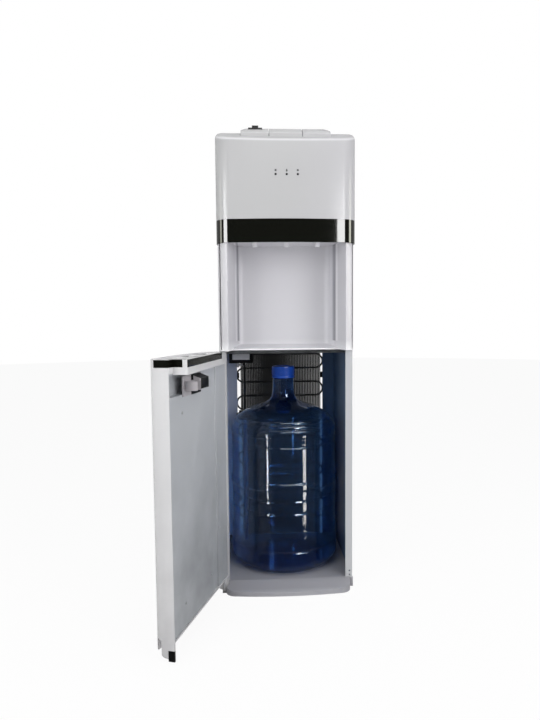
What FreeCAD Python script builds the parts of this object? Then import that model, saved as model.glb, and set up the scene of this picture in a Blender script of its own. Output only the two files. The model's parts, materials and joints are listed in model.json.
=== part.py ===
import FreeCAD, Part
import math
import os
import Sketcher

# Bottom load water cooler with its door open and an 18.9 litre bottle inside.
# +X right, +Y back, +Z up.  X = 0 is the middle, Y = 0 the plane of the front flanges,
# Z = 0 the floor.  Lengths in millimetres, angles in degrees.

os.makedirs("parts", exist_ok=True)
doc = FreeCAD.newDocument("water_cooler")
V = FreeCAD.Vector

SIZES = (
    # the bottle, and the room that the cabinet leaves round it
    ("bottle_radius", 134), ("bottle_height", 494.7), ("bottle_foot_radius", 114),
    ("bottle_foot_rise", 24), ("bottle_panel_depth", 2.5), ("bottle_groove_depth", 2),
    ("bottle_groove_width", 7), ("bottle_belt_step", 4), ("bottle_low_belt_top", 102),
    ("bottle_mid_belt", 234), ("bottle_mid_belt_width", 13), ("bottle_top_belt", 341),
    ("bottle_groove_1", 71), ("bottle_groove_2", 85), ("bottle_groove_3", 163),
    ("bottle_groove_4", 192), ("bottle_groove_5", 314), ("bottle_groove_6", 357),
    ("bottle_groove_7", 378), ("shoulder_start", 102), ("shoulder_rim_radius", 104),
    ("shoulder_rim_drop", 70), ("neck_radius", 27), ("neck_root_drop", 47),
    ("neck_root_width", 9), ("cap_radius", 28.5), ("cap_height", 30), ("cap_skirt", 1.2),
    ("bottle_side_room", 18.5), ("bottle_front_room", 6), ("bottle_back_room", 26),
    ("bottle_head_room", 46.8),
    # cabinet: folded side panels on a moulded base
    ("sheet", 1), ("fold_radius", 1.5), ("front_flange", 16.5), ("rear_flange", 33.5),
    ("flange_hole_radius", 2), ("flange_hole_inset", 6.7), ("flange_hole_low", 6.5),
    ("flange_hole_pitch", 9.8),
    ("base_height", 24), ("base_floor_rise", 2), ("base_side_step", 1.5), ("base_rear_step", 2),
    ("base_corner", 4), ("lip_half_width", 146), ("lip_apex", 43), ("lip_corner", 24),
    ("lip_front_height", 9), ("lip_ramp_start", 2), ("rib_pocket_depth", 14),
    ("rib_grid_half", 100), ("rib_grid_front", 22), ("rib_grid_back", 280),
    ("rib_thickness", 3), ("pad_radius", 15), ("pad_height", 4), ("pad_offset_x", 128),
    ("pad_inset", 25), ("pad_front_y", 44), ("seam", 0.3),
    # bowed front, shared by the head, the band, the recess frame and the door
    ("front_apex", 56), ("front_bow", 1000), ("front_corner", 36),
    ("head_side_step", 1.5), ("frame_inset", 3.3),
    # storeys above the bottle compartment
    ("recess_height", 237.5), ("band_height", 50.5), ("head_height", 194.5),
    ("band_wall", 3), ("head_wall", 2.5), ("crown_rise", 23), ("crown_run", 46),
    ("crown_end", 4), ("crown_fillet", 9), ("shoulder_radius", 17), ("lid_skirt", 26),
    # dispensing recess
    ("recess_half_front", 131), ("recess_front_y", 45), ("recess_half_crease", 118),
    ("recess_crease_y", 40),
    ("recess_half_back", 112), ("recess_depth", 95), ("recess_corner", 15),
    ("recess_wall", 3), ("recess_floor_start", 2), ("recess_floor_front", 3.5),
    ("recess_floor_back", 10.1), ("ceiling_front", 3), ("ceiling_back", 9),
    ("recess_roof", 11), ("column_pocket_rise", 2.5), ("column_pocket_depth", 30),
    # buttons, taps, indicators
    ("button_gap", 1.4), ("centre_button_half", 36.2), ("outer_button_width", 60.9),
    ("button_front_y", 34), ("button_back_y", 4), ("button_front_height", 17),
    ("button_back_height", 34), ("button_nose", 3),
    ("button_end_width", 22), ("button_end_drop", 11), ("button_end_radius", 33),
    ("button_travel", 5), ("slot_clearance", 0.4), ("rod_radius", 3), ("rod_bore", 3.3),
    ("rod_engagement", 10), ("tap_pitch", 70), ("tap_y", 20), ("tap_radius", 11),
    ("tap_height", 36), ("nozzle_radius", 6), ("nozzle_drop", 9.5), ("tap_flange", 3),
    ("tap_flange_radius", 14), ("tap_inlet_rise", 20), ("tap_inlet_radius", 4.5),
    ("tap_inlet_length", 16), ("lens_radius", 2.5), ("lens_pitch", 24), ("lens_drop", 100.7),
    ("lens_length", 6), ("lens_proud", 0.3), ("board_half", 45), ("board_height", 36),
    ("board_thickness", 1.6), ("board_standoff", 5), ("lock_half", 15.5), ("lock_x", 66.5),
    ("lock_front_y", 14), ("lock_back_y", 5), ("lock_plate", 1.5), ("lock_travel", 4),
    ("lock_knob_half", 7), ("lock_knob_height", 4), ("lock_tongue_half", 6),
    ("lock_tongue_depth", 2.5), ("lock_tongue_width", 3),
    # shelves
    ("deck_drop", 9.5), ("deck_sheet", 1.2), ("deck_front", 38), ("deck_side_gap", 0.2),
    ("shelf_front", 2), ("shelf_back_gap", 0.5),
    # tanks and cooling circuit
    ("cold_tank_radius", 52), ("cold_tank_height", 180), ("cold_tank_x", 62),
    ("cold_tank_y", 152), ("evaporator_thickness", 3), ("insulation_thickness", 24),
    ("insulation_cover", 12), ("hot_tank_radius", 42), ("hot_tank_height", 135),
    ("hot_tank_x", 88), ("hot_tank_y", 168), ("heater_width", 40), ("heater_rise", 40),
    ("heater_thickness", 2.5), ("tank_play", 0.3), ("compressor_radius", 58),
    ("compressor_height", 140), ("compressor_x", 65), ("compressor_y", 198),
    ("compressor_dome", 26), ("foot_plate", 2.5), ("foot_half_x", 72), ("foot_half_y", 58),
    ("grommet_radius", 9), ("grommet_height", 5), ("grommet_inset", 12),
    ("dryer_radius", 9), ("dryer_height", 90), ("dryer_y", 268),
    ("line_step", 3.6),
    # condenser on the back
    ("coil_radius", 2.4), ("coil_rows", 13), ("coil_pitch", 39), ("coil_half", 121),
    ("coil_top_drop", 16.4), ("coil_stand_off", 8), ("coil_riser_x", 129),
    ("coil_riser_bend", 12), ("coil_rise", 22), ("wire_radius", 0.8), ("wire_half", 110),
    ("wire_count", 38), ("wire_over", 10), ("wire_seat", 0.05), ("bracket_width", 20),
    ("bracket_height", 16), ("bracket_arm", 6), ("bracket_edge", 114),
    # pump and hoses
    ("pump_x", 107.75), ("pump_half_x", 32.25), ("pump_drop", 8.5), ("pump_height", 27.8),
    ("pump_front_y", 240), ("pump_length", 47), ("pump_corner", 3), ("pump_port_drop", 13),
    ("pump_label_half", 24.1), ("pump_label_height", 17), ("pump_label_rise", 8.3),
    ("pump_label_proud", 0.4), ("hanger_half", 12), ("hanger_sheet", 1.5),
    ("hose_radius", 2.8), ("suction_x", 100), ("suction_y", 262), ("probe_radius", 22),
    ("probe_height", 22), ("probe_level", 342), ("straw_radius", 6), ("outlet_x", 117.4),
    ("outlet_y", 268), ("outlet_back_y", 292), ("outlet_radius", 3),
    ("outlet_riser_x", 95), ("outlet_bend", 10), ("outlet_rise", 10), ("fitting_radius", 5), ("tap_hose_radius", 4.5),
    # rear panel
    ("rear_panel_gap", 34.5), ("rear_panel_half", 150), ("slot_half", 20), ("slot_height", 4),
    ("slot_pitch", 14), ("slot_rows", 8), ("slot_first", 60), ("slot_column_x", 60),
    ("screw_radius", 3.5), ("screw_height", 2), ("screw_inset", 7), ("gland_radius", 9),
    ("gland_x", 100), ("gland_rise", 28), ("gland_length", 12), ("spigot_radius", 8),
    ("spigot_x", 88), ("spigot_rise", 25), ("spigot_length", 15), ("spigot_flange", 13),
    ("drain_cap_radius", 12), ("drain_cap_length", 16), ("thread_clearance", 0.3),
    ("switch_x", 100), ("switch_pitch", 32), ("switch_rise", 68), ("rocker_half_width", 7),
    ("rocker_half", 11), ("rocker_proud", 4), ("rocker_tilt", 8), ("rocker_pin", 1.5),
    ("rocker_side_gap", 0.4), ("bezel_wall", 1.5), ("bezel_lip", 2.5), ("bezel_depth", 10),
    ("bezel_thickness", 2), ("pin_play", 0.05),
    # door, built closed and swung open about its hinge
    ("door_open", 107.5), ("door_side_gap", 2), ("door_back_gap", 1), ("door_wall", 2.5),
    ("door_floor_gap", 3), ("door_top_drop", 25.5), ("door_foot_fillet", 10),
    ("lip_side_room", 1.6), ("lip_front_room", 3), ("lip_top_room", 15),
    ("hinge_inset", 5.5), ("hinge_y", 10), ("hinge_pin", 2), ("hinge_play", 0.05),
    ("hinge_boss", 5), ("lower_pin_length", 18), ("hinge_plate", 2.4),
    ("hinge_plate_gap", 0.3), ("hinge_plate_width", 24), ("hinge_plate_back", 18),
    ("hinge_plate_nose", 6), ("upper_plate", 1.5), ("upper_plate_front", 30),
    ("upper_plate_width", 19), ("upper_pin_length", 16),
    ("liner_sheet", 2), ("liner_set_back", 2), ("liner_edge_gap", 0.3),
    ("window_left", 5), ("window_right", 145), ("window_drop", 4), ("window_height", 39),
    ("window_depth", 17), ("groove_centre", 72), ("groove_width", 30), ("groove_sink", 3),
    ("door_screw_radius", 3), ("door_screw_height", 1.4),
    ("clip_left", 2), ("clip_right", 90), ("clip_height", 32),
    ("clip_plate", 2.5), ("clip_block_right", 50), ("clip_block_out", 18),
    ("clip_ring_x", 70), ("clip_ring_radius", 16), ("clip_ring_wall", 5),
    ("clip_ring_height", 18), ("catch_height", 21), ("catch_length", 13),
    # drip tray on the door's top edge
    ("tray_top_gap", 1.9), ("tray_skirt", 4), ("tray_side_gap", 4), ("tray_reach", 28),
    ("tray_corner", 5), ("tray_taper_start", 13), ("tray_wall", 3), ("tray_floor", 3),
    ("tray_hinge_margin", 48), ("tray_play", 0.4), ("pan_wall", 1.5), ("pan_floor", 2),
    ("pan_rim_drop", 0.6), ("grille_thickness", 3), ("grille_drop", 1.2), ("oval_half", 20),
    ("oval_radius", 8), ("oval_depth", 1.4), ("oval_y", 18), ("drain_slot_half", 14),
    ("drain_slot_width", 2.4), ("drain_slot_pitch", 5), ("trim_height", 14),
    ("trim_thickness", 1.4), ("trim_front", 30),
)

sheet = doc.addObject("Spreadsheet::Sheet", "sizes")
for row, (name, number) in enumerate(SIZES, 1):
    sheet.set("A%d" % row, name)
    sheet.set("B%d" % row, str(number))
    sheet.setAlias("B%d" % row, name)
doc.recompute()


class Size:
    """A length or angle together with the sheet formula that gives it."""

    def __init__(self, value, text):
        self.value = float(value)
        self.text = text

    def join(self, other, sign, value):
        return Size(value, "(%s %s %s)" % (self.text, sign, size(other).text))

    def __add__(self, other):
        return self.join(other, "+", self.value + size(other).value)

    def __sub__(self, other):
        return self.join(other, "-", self.value - size(other).value)

    def __mul__(self, other):
        return self.join(other, "*", self.value * size(other).value)

    def __truediv__(self, other):
        return self.join(other, "/", self.value / size(other).value)

    def __radd__(self, other):
        return size(other) + self

    def __rsub__(self, other):
        return size(other) - self

    def __rmul__(self, other):
        return size(other) * self

    def __neg__(self):
        return Size(-self.value, "(-%s)" % self.text)


def size(number):
    if isinstance(number, Size):
        return number
    return Size(number, "(%r)" % float(number))


def root(square):
    return Size(math.sqrt(square.value), "sqrt(%s)" % square.text)


def sine(angle):
    return Size(math.sin(math.radians(angle.value)), "sin(%s * 1 deg)" % angle.text)


def cosine(angle):
    return Size(math.cos(math.radians(angle.value)), "cos(%s * 1 deg)" % angle.text)


class Dims:
    """Reads a named size of the sheet."""

    def __getattr__(self, name):
        return Size(sheet.get(name), "sizes." + name)


D = Dims()
nodes = []


def bind(thing, path, length):
    thing.setExpression(path, size(length).text)


def keep(thing, label):
    """Enters a finished piece under its own label."""
    thing.Label = label
    nodes.append(thing)
    return thing


def place(thing, x=0, y=0, z=0):
    for axis, length in zip("xyz", (x, y, z)):
        if isinstance(length, Size) or length:
            bind(thing, "Placement.Base." + axis, length)


def box(name, x, y, z):
    """Block between three pairs of coordinates."""
    block = doc.addObject("Part::Box", name)
    for side, (low, high) in zip(("Length", "Width", "Height"), (x, y, z)):
        bind(block, side, size(high) - low)
    place(block, x[0], y[0], z[0])
    return block


def cylinder(name, centre, along, radius, axis="Z"):
    """Cylinder between two coordinates of its axis; centre holds the other two in XYZ order."""
    rod = doc.addObject("Part::Cylinder", name)
    low, high = along
    bind(rod, "Radius", radius)
    bind(rod, "Height", size(high) - low)
    if axis == "Z":
        place(rod, centre[0], centre[1], low)
    elif axis == "Y":
        rod.Placement.Rotation = FreeCAD.Rotation(V(1, 0, 0), -90)
        place(rod, centre[0], low, centre[1])
    else:
        rod.Placement.Rotation = FreeCAD.Rotation(V(0, 1, 0), 90)
        place(rod, low, centre[0], centre[1])
    return rod


def cut(name, base, *tools):
    result = doc.addObject("Part::Cut", name)
    result.Base = base
    result.Tool = tools[0] if len(tools) == 1 else fuse(name + "_tools", *tools)
    return result


def fuse(name, *shapes):
    result = doc.addObject("Part::MultiFuse", name)
    result.Shapes = list(shapes)
    return result


def group(name, *solids):
    """Separate like solids that share one name."""
    result = doc.addObject("Part::Compound", name)
    result.Links = list(solids)
    return result


def number(length):
    return size(length).value


def arc_between(start, end, radius, turn):
    """Arc of under half a turn; turn is +1 anticlockwise, -1 clockwise."""
    (x0, y0), (x1, y1) = start, end
    half = math.hypot(x1 - x0, y1 - y0) / 2
    rise = math.sqrt(max(radius * radius - half * half, 0)) * turn
    centre_x = (x0 + x1) / 2 - (y1 - y0) / (2 * half) * rise
    centre_y = (y0 + y1) / 2 + (x1 - x0) / (2 * half) * rise
    if turn < 0:
        x0, y0, x1, y1 = x1, y1, x0, y0
    first = math.atan2(y0 - centre_y, x0 - centre_x)
    last = math.atan2(y1 - centre_y, x1 - centre_x)
    if last < first:
        last += 2 * math.pi
    circle = Part.Circle(V(centre_x, centre_y, 0), V(0, 0, 1), radius)
    return Part.ArcOfCircle(circle, first, last)


def circle(x, y, radius):
    return ("circle", x, y, radius)


def rectangle(x0, x1, y0, y1):
    return [(x0, y0), (x1, y0), (x1, y1), (x0, y1)]


def mirrored(outline):
    """The outline on the other side of X = 0, with its arcs turned the same way."""
    corners = []
    for k in range(len(outline)):
        here = outline[-1 - k]
        radius = outline[-2 - k][2:] if k < len(outline) - 1 else outline[-1][2:]
        corners.append((-size(here[0]), here[1]) + tuple(radius))
    return corners


class Solid:
    """One body grown from sketches.  An outline is a circle, or corners (u, v) where a third
    value is the radius of the arc to the next corner, below zero for a clockwise arc."""

    PLANES = {"XY": "XY_Plane", "XZ": "XZ_Plane", "YZ": "YZ_Plane"}

    def __init__(self, name):
        self.body = doc.addObject("PartDesign::Body", name)
        self.name = name
        self.steps = 0

    def sketch(self, plane, level, outlines):
        self.steps += 1
        drawing = self.body.newObject("Sketcher::SketchObject", "%s_outline_%d" % (self.name, self.steps))
        planes = self.body.Origin.OriginFeatures
        drawing.AttachmentSupport = [(item, "") for item in planes if item.Role == self.PLANES[plane]]
        drawing.MapMode = "FlatFace"
        bind(drawing, "AttachmentOffset.Base.z", level)
        for outline in outlines:
            if outline[0] == "circle":
                self.draw_circle(drawing, *outline[1:])
            else:
                self.draw_corners(drawing, outline)
        return drawing

    def constrain(self, drawing, kind, where, length):
        index = drawing.addConstraint(Sketcher.Constraint(kind, *where, number(length)))
        drawing.setExpression("Constraints[%d]" % index, size(length).text)

    def draw_circle(self, drawing, x, y, radius):
        ring = Part.Circle(V(number(x), number(y), 0), V(0, 0, 1), number(radius))
        index = drawing.addGeometry(ring, False)
        self.constrain(drawing, "DistanceX", (index, 3), x)
        self.constrain(drawing, "DistanceY", (index, 3), y)
        self.constrain(drawing, "Radius", (index,), radius)

    def draw_corners(self, drawing, corners):
        edges = []
        for here, after in zip(corners, corners[1:] + corners[:1]):
            start = (number(here[0]), number(here[1]))
            end = (number(after[0]), number(after[1]))
            if len(here) == 3:
                turn = 1 if number(here[2]) > 0 else -1
                arc = arc_between(start, end, abs(number(here[2])), turn)
                index = drawing.addGeometry(arc, False)
                edges.append((index, 1, 2) if turn > 0 else (index, 2, 1))
                self.constrain(drawing, "Radius", (index,), here[2] if turn > 0 else -size(here[2]))
            else:
                line = Part.LineSegment(V(start[0], start[1], 0), V(end[0], end[1], 0))
                edges.append((drawing.addGeometry(line, False), 1, 2))
        for (edge, start, end), (following, first, last) in zip(edges, edges[1:] + edges[:1]):
            drawing.addConstraint(Sketcher.Constraint("Coincident", edge, end, following, first))
        for (edge, start, end), here in zip(edges, corners):
            self.constrain(drawing, "DistanceX", (edge, start), here[0])
            self.constrain(drawing, "DistanceY", (edge, start), here[1])

    def volume(self):
        doc.recompute()
        return self.body.Shape.Volume

    def pad(self, plane, low, high, *outlines):
        """Adds the outlines between two levels along the plane's axis."""
        level = -size(high) if plane == "XZ" else low
        drawing = self.sketch(plane, level, outlines)
        step = self.body.newObject("PartDesign::Pad", "%s_pad_%d" % (self.name, self.steps))
        step.Profile = drawing
        bind(step, "Length", size(high) - low)
        drawing.Visibility = False
        self.volume()
        return self

    def pocket(self, plane, low, high, *outlines):
        """Cuts the outlines between two levels along the plane's axis."""
        before = self.volume()
        level = -size(low) if plane == "XZ" else high
        drawing = self.sketch(plane, level, outlines)
        step = self.body.newObject("PartDesign::Pocket", "%s_pocket_%d" % (self.name, self.steps))
        step.Profile = drawing
        bind(step, "Length", size(high) - low)
        if not self.volume() < before:
            raise RuntimeError("%s: pocket %d cuts nothing" % (self.name, self.steps))
        return self

    def revolve(self, outline):
        """Turns an outline of the XZ plane about the vertical line X = 0."""
        drawing = self.sketch("XZ", 0, [outline])
        step = self.body.newObject("PartDesign::Revolution", "%s_turn_%d" % (self.name, self.steps))
        step.Profile = drawing
        step.ReferenceAxis = (drawing, ["V_Axis"])
        step.Angle = 360
        self.volume()
        return self

    def fillet(self, radius, chosen):
        """Rounds the edges for which chosen(edge) is true."""
        self.steps += 1
        shape = self.body.Shape
        solid_so_far = self.body.Tip
        names = ["Edge%d" % k for k, edge in enumerate(shape.Edges, 1) if chosen(edge)]
        step = self.body.newObject("PartDesign::Fillet", "%s_fillet_%d" % (self.name, self.steps))
        step.Base = (solid_so_far, names)
        bind(step, "Radius", radius)
        self.volume()
        return self


# ---------------------------------------------------------------- derived places

panel_half = D.bottle_radius + D.bottle_side_room + D.sheet
depth = D.bottle_front_room + D.bottle_radius * 2 + D.bottle_back_room
bottle_y = D.bottle_front_room + D.bottle_radius
ledge = D.base_height - D.base_floor_rise
frame_bottom = D.base_height + D.bottle_height + D.bottle_head_room
band_bottom = frame_bottom + D.recess_height
band_top = band_bottom + D.band_height
head_top = band_top + D.head_height
head_half = panel_half + D.head_side_step
panel_top = head_top - D.shoulder_radius - D.sheet
shelf_level = band_bottom + D.recess_roof
deck_level = frame_bottom - D.deck_drop
lid_bottom = head_top - D.lid_skirt
rear_panel_bottom = frame_bottom + D.rear_panel_gap
door_half = panel_half - D.door_side_gap
door_top = frame_bottom - D.door_top_drop
tray_top = frame_bottom - D.tray_top_gap
hinge_x = D.hinge_inset - panel_half
hinge_y = -D.hinge_y
coil_y = depth + D.coil_stand_off
coil_top = deck_level - D.coil_top_drop


def bow_front_y(x, inset):
    """Y of the bowed front, moved inwards by an inset, at a distance from its middle."""
    radius = D.front_bow - inset
    return D.front_bow - D.front_apex - root(radius * radius - size(x) * x)


def bow(half_width, inset, back, apex=None, corner=None):
    """Plan of a bowed front: straight sides, rounded corners and a shallow arc, moved inwards
    by an inset.  It is closed along Y = back."""
    apex = D.front_apex if apex is None else apex
    corner = D.front_corner if corner is None else corner
    side = half_width - inset
    middle = half_width - corner
    reach = D.front_bow - corner
    centre_y = D.front_bow - apex
    corner_y = centre_y - root(reach * reach - middle * middle)
    small = corner - inset
    large = D.front_bow - inset
    share = large / reach
    tangent_x = middle * share
    tangent_y = centre_y - (centre_y - corner_y) * share
    return [
        (-side, back), (-side, corner_y, small), (-tangent_x, tangent_y, large),
        (tangent_x, tangent_y, small), (side, corner_y), (side, back),
    ]


def open_on_hinge(thing):
    """Swings a piece built on the closed door to where the door stands open."""
    turn_cos = cosine(D.door_open)
    turn_sin = sine(D.door_open)
    bind(thing, "Placement.Base.x", hinge_x - (turn_cos * hinge_x + turn_sin * hinge_y))
    bind(thing, "Placement.Base.y", hinge_y - (turn_cos * hinge_y - turn_sin * hinge_x))
    thing.setExpression("Placement.Rotation.Angle", (-D.door_open).text)
    thing.setExpression("Placement.Rotation.Axis.x", "0")
    thing.setExpression("Placement.Rotation.Axis.y", "0")
    thing.setExpression("Placement.Rotation.Axis.z", "1")


def shoulders(solid, half_width, top, radius, low, high):
    """Rounds both top corners, seen from the front, along the whole depth."""
    spare = D.shoulder_radius
    right = [
        (half_width - radius, top, -radius), (half_width, top - radius),
        (half_width + spare, top - radius), (half_width + spare, top + spare),
        (half_width - radius, top + spare),
    ]
    left = [
        (-half_width, top - radius, -radius), (radius - half_width, top),
        (radius - half_width, top + spare), (-half_width - spare, top + spare),
        (-half_width - spare, top - radius),
    ]
    return solid.pocket("XZ", low, high, right, left)


# ---------------------------------------------------------------- base and cabinet

def base_tray():
    """Moulded base: floor under the bottle, ledge for the side panels, ramped front lip."""
    half = panel_half + D.base_side_step
    back = depth + D.base_rear_step
    corner = D.base_corner
    plan = [
        (-half, 0), (half, 0), (half, back - corner, corner), (half - corner, back),
        (corner - half, back, corner), (-half, back - corner),
    ]
    inner = panel_half - D.sheet - D.seam
    behind = D.sheet + D.seam
    between = panel_half - D.front_flange - D.seam
    floor_back = depth - behind
    floor = [
        (-inner, behind), (-between, behind), (-between, 0), (between, 0), (between, behind),
        (inner, behind), (inner, floor_back), (-inner, floor_back),
    ]
    lip = bow(D.lip_half_width, size(0), size(0), D.lip_apex, D.lip_corner)
    fall = D.base_height - D.lip_front_height
    run = D.lip_apex - D.lip_ramp_start
    overshoot = 2
    ramp = [
        (-D.lip_ramp_start, D.base_height),
        (-D.lip_ramp_start, D.base_height * overshoot),
        (-D.lip_ramp_start - run * overshoot, D.base_height * overshoot),
        (-D.lip_ramp_start - run * overshoot, D.base_height - fall * overshoot),
    ]
    hinge_relief = circle(hinge_x, hinge_y, D.hinge_y - D.hinge_play)
    plate_room = D.seam
    plate_x = hinge_x - D.hinge_plate_nose
    plate_seat = rectangle(
        plate_x - plate_room, plate_x + D.hinge_plate_width + plate_room,
        hinge_y - D.hinge_plate_nose - plate_room, D.hinge_plate_back + plate_room,
    )
    cells = 3
    step_x = (D.rib_grid_half * 2 + D.rib_thickness) / cells
    step_y = (D.rib_grid_back - D.rib_grid_front + D.rib_thickness) / cells
    grid = []
    for column in range(cells):
        for row in range(cells):
            left = step_x * column - D.rib_grid_half
            front = D.rib_grid_front + step_y * row
            grid.append(rectangle(
                left, left + step_x - D.rib_thickness, front, front + step_y - D.rib_thickness,
            ))
    sockets = [circle(x, y, D.pad_radius + D.seam / 3) for x, y in pad_places()]
    solid = Solid("base_tray_body")
    solid.pad("XY", 0, ledge, plan)
    solid.pad("XY", 0, D.base_height, lip)
    solid.pad("XY", ledge, D.base_height, floor)
    solid.pocket("YZ", -head_half, head_half, ramp)
    solid.pocket("XY", 0, D.base_height + D.seam, hinge_relief)
    solid.pocket("XY", 0, D.hinge_plate + D.hinge_plate_gap, plate_seat)
    solid.pocket("XY", 0, D.rib_pocket_depth, *grid)
    solid.pocket("XY", 0, D.pad_height, *sockets)
    keep(solid.body, "base_tray")


def pad_places():
    back = depth - D.pad_inset
    x = D.pad_offset_x
    return [(-x, D.pad_front_y), (x, D.pad_front_y), (-x, back), (x, back)]


def anti_slip_pads():
    pads = [
        cylinder("pad_%d" % k, spot, (0, D.pad_height), D.pad_radius)
        for k, spot in enumerate(pad_places(), 1)
    ]
    keep(group("anti_slip_pads_group", *pads), "anti_slip_pads")


def side_panel_plan():
    """Folded sheet seen from above: outer face, front flange and rear flange, right side."""
    out = panel_half
    inn = panel_half - D.sheet
    bend = D.fold_radius
    bend_in = bend - D.sheet
    front = panel_half - D.front_flange
    rear = panel_half - D.rear_flange
    return [
        (front, 0), (out - bend, 0, bend), (out, bend), (out, depth - bend, bend),
        (out - bend, depth), (rear, depth), (rear, depth - D.sheet),
        (out - bend, depth - D.sheet, -bend_in), (inn, depth - bend),
        (inn, bend, -bend_in), (out - bend, D.sheet), (front, D.sheet),
    ]


def side_panels():
    right = Solid("right_panel_body").pad("XY", ledge, panel_top, side_panel_plan())
    hole_x = panel_half - D.flange_hole_inset
    low = ledge + D.flange_hole_low
    holes = [circle(hole_x, low + D.flange_hole_pitch * k, D.flange_hole_radius) for k in range(2)]
    right.pocket("XZ", 0, D.sheet, *holes)
    left = Solid("left_panel_body").pad("XY", ledge, panel_top, mirrored(side_panel_plan()))
    keep(left.body, "left_side_panel")
    keep(right.body, "right_side_panel")


def compressor_shelf():
    """Sheet that closes the bottle compartment; its front edge is turned up to the recess."""
    half = panel_half - D.sheet - D.deck_side_gap
    back = depth - D.sheet - D.shelf_back_gap
    profile = [
        (D.deck_front, deck_level), (back, deck_level), (back, deck_level + D.deck_sheet),
        (D.deck_front + D.deck_sheet, deck_level + D.deck_sheet),
        (D.deck_front + D.deck_sheet, frame_bottom), (D.deck_front, frame_bottom),
    ]
    solid = Solid("deck_body").pad("YZ", -half, half, profile)
    hose_hole = circle(-D.outlet_riser_x, D.outlet_back_y, D.outlet_radius + D.sheet)
    solid.pocket("XY", deck_level, deck_level + D.deck_sheet, hose_hole)
    keep(solid.body, "compressor_shelf")


def tank_shelf():
    half = panel_half - D.sheet - D.deck_side_gap
    back = depth - D.sheet - D.shelf_back_gap
    solid = Solid("tank_shelf_body")
    solid.pad("XY", shelf_level, shelf_level + D.deck_sheet, rectangle(-half, half, D.shelf_front, back))
    solid.pocket("XY", shelf_level, shelf_level + D.deck_sheet, circle(
        -D.outlet_riser_x, D.outlet_back_y, D.outlet_radius + D.sheet))
    keep(solid.body, "tank_shelf")


# ---------------------------------------------------------------- dispensing recess

def recess_half(y):
    """Half width of the recess opening on its tapering flanks, a distance y ahead of Y = 0."""
    flank = (D.recess_half_front - D.recess_half_crease) / (D.recess_front_y + D.recess_crease_y)
    return D.recess_half_crease + flank * (D.recess_crease_y + y)


def recess_plan(offset, front):
    """Plan of the recess opening: tapering flanks, a crease, and rounded back corners."""
    corner = D.recess_corner + offset
    side = D.recess_half_back + offset
    back = D.recess_depth + offset
    right = [
        (recess_half(front) + offset, -front),
        (D.recess_half_crease + offset, D.recess_crease_y),
        (side, back - corner, corner), (side - corner, back),
    ]
    left = [(-size(x), y) for x, y, *rest in reversed(right)]
    left[0] = left[0] + (corner,)
    return right + left


def recess_liner():
    """Moulded dispensing recess with the two columns of its bowed frame."""
    roof = band_bottom + D.recess_roof
    solid = Solid("recess_body")
    solid.pad("XY", frame_bottom, roof, bow(head_half, D.frame_inset, size(0)))
    solid.pad("XY", frame_bottom, roof, recess_plan(D.recess_wall, size(0)))
    wall = D.recess_wall
    column_side = head_half - D.frame_inset - wall
    pocket_front = -D.column_pocket_depth
    inner_back = recess_half(0) + wall
    inner_front = recess_half(D.column_pocket_depth) + wall
    column = [(inner_back, 0), (column_side, 0), (column_side, pocket_front), (inner_front, pocket_front)]
    column.reverse()
    solid.pocket(
        "XY", frame_bottom + D.column_pocket_rise, roof - D.column_pocket_rise,
        column, mirrored(column),
    )
    taps = [circle(D.tap_pitch * k, -D.tap_y, D.tap_radius + D.seam) for k in (-1, 0, 1)]
    solid.pocket("XY", band_bottom, roof, *taps)

    space = Solid("recess_space")
    space.pad("XY", frame_bottom - D.recess_roof, roof + D.recess_roof, recess_plan(size(0), D.front_apex))
    far = D.recess_depth * 2
    start = D.recess_floor_start
    under = [
        (start, 0), (far, 0), (far, frame_bottom + D.recess_floor_back * 2 - D.recess_floor_front),
        (start, frame_bottom + D.recess_floor_front),
    ]
    slope = (D.ceiling_back - D.ceiling_front) / (D.recess_depth + D.front_apex)
    ceiling_far = band_bottom + D.ceiling_front + slope * (far + D.front_apex)
    over = [
        (-far, band_bottom + D.ceiling_front - slope * (far - D.front_apex)), (far, ceiling_far),
        (far, roof * 2), (-far, roof * 2),
    ]
    space.pocket("YZ", -head_half, head_half, under)
    space.pocket("YZ", -head_half, head_half, over)
    keep(cut("recess_liner_cut", solid.body, space.body), "recess_liner")


# ---------------------------------------------------------------- head

def crown_line(drop):
    """The sloping crown in side view, cut away above; drop lowers it for the inside."""
    slope = D.crown_rise / D.crown_run
    spare = D.front_apex
    end_z = head_top - drop
    start_y = -D.crown_end - D.crown_run
    return [
        (-D.crown_end, end_z), (-D.crown_end, end_z + spare), (start_y - spare, end_z + spare),
        (start_y - spare, end_z - D.crown_rise - slope * spare),
    ]


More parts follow.
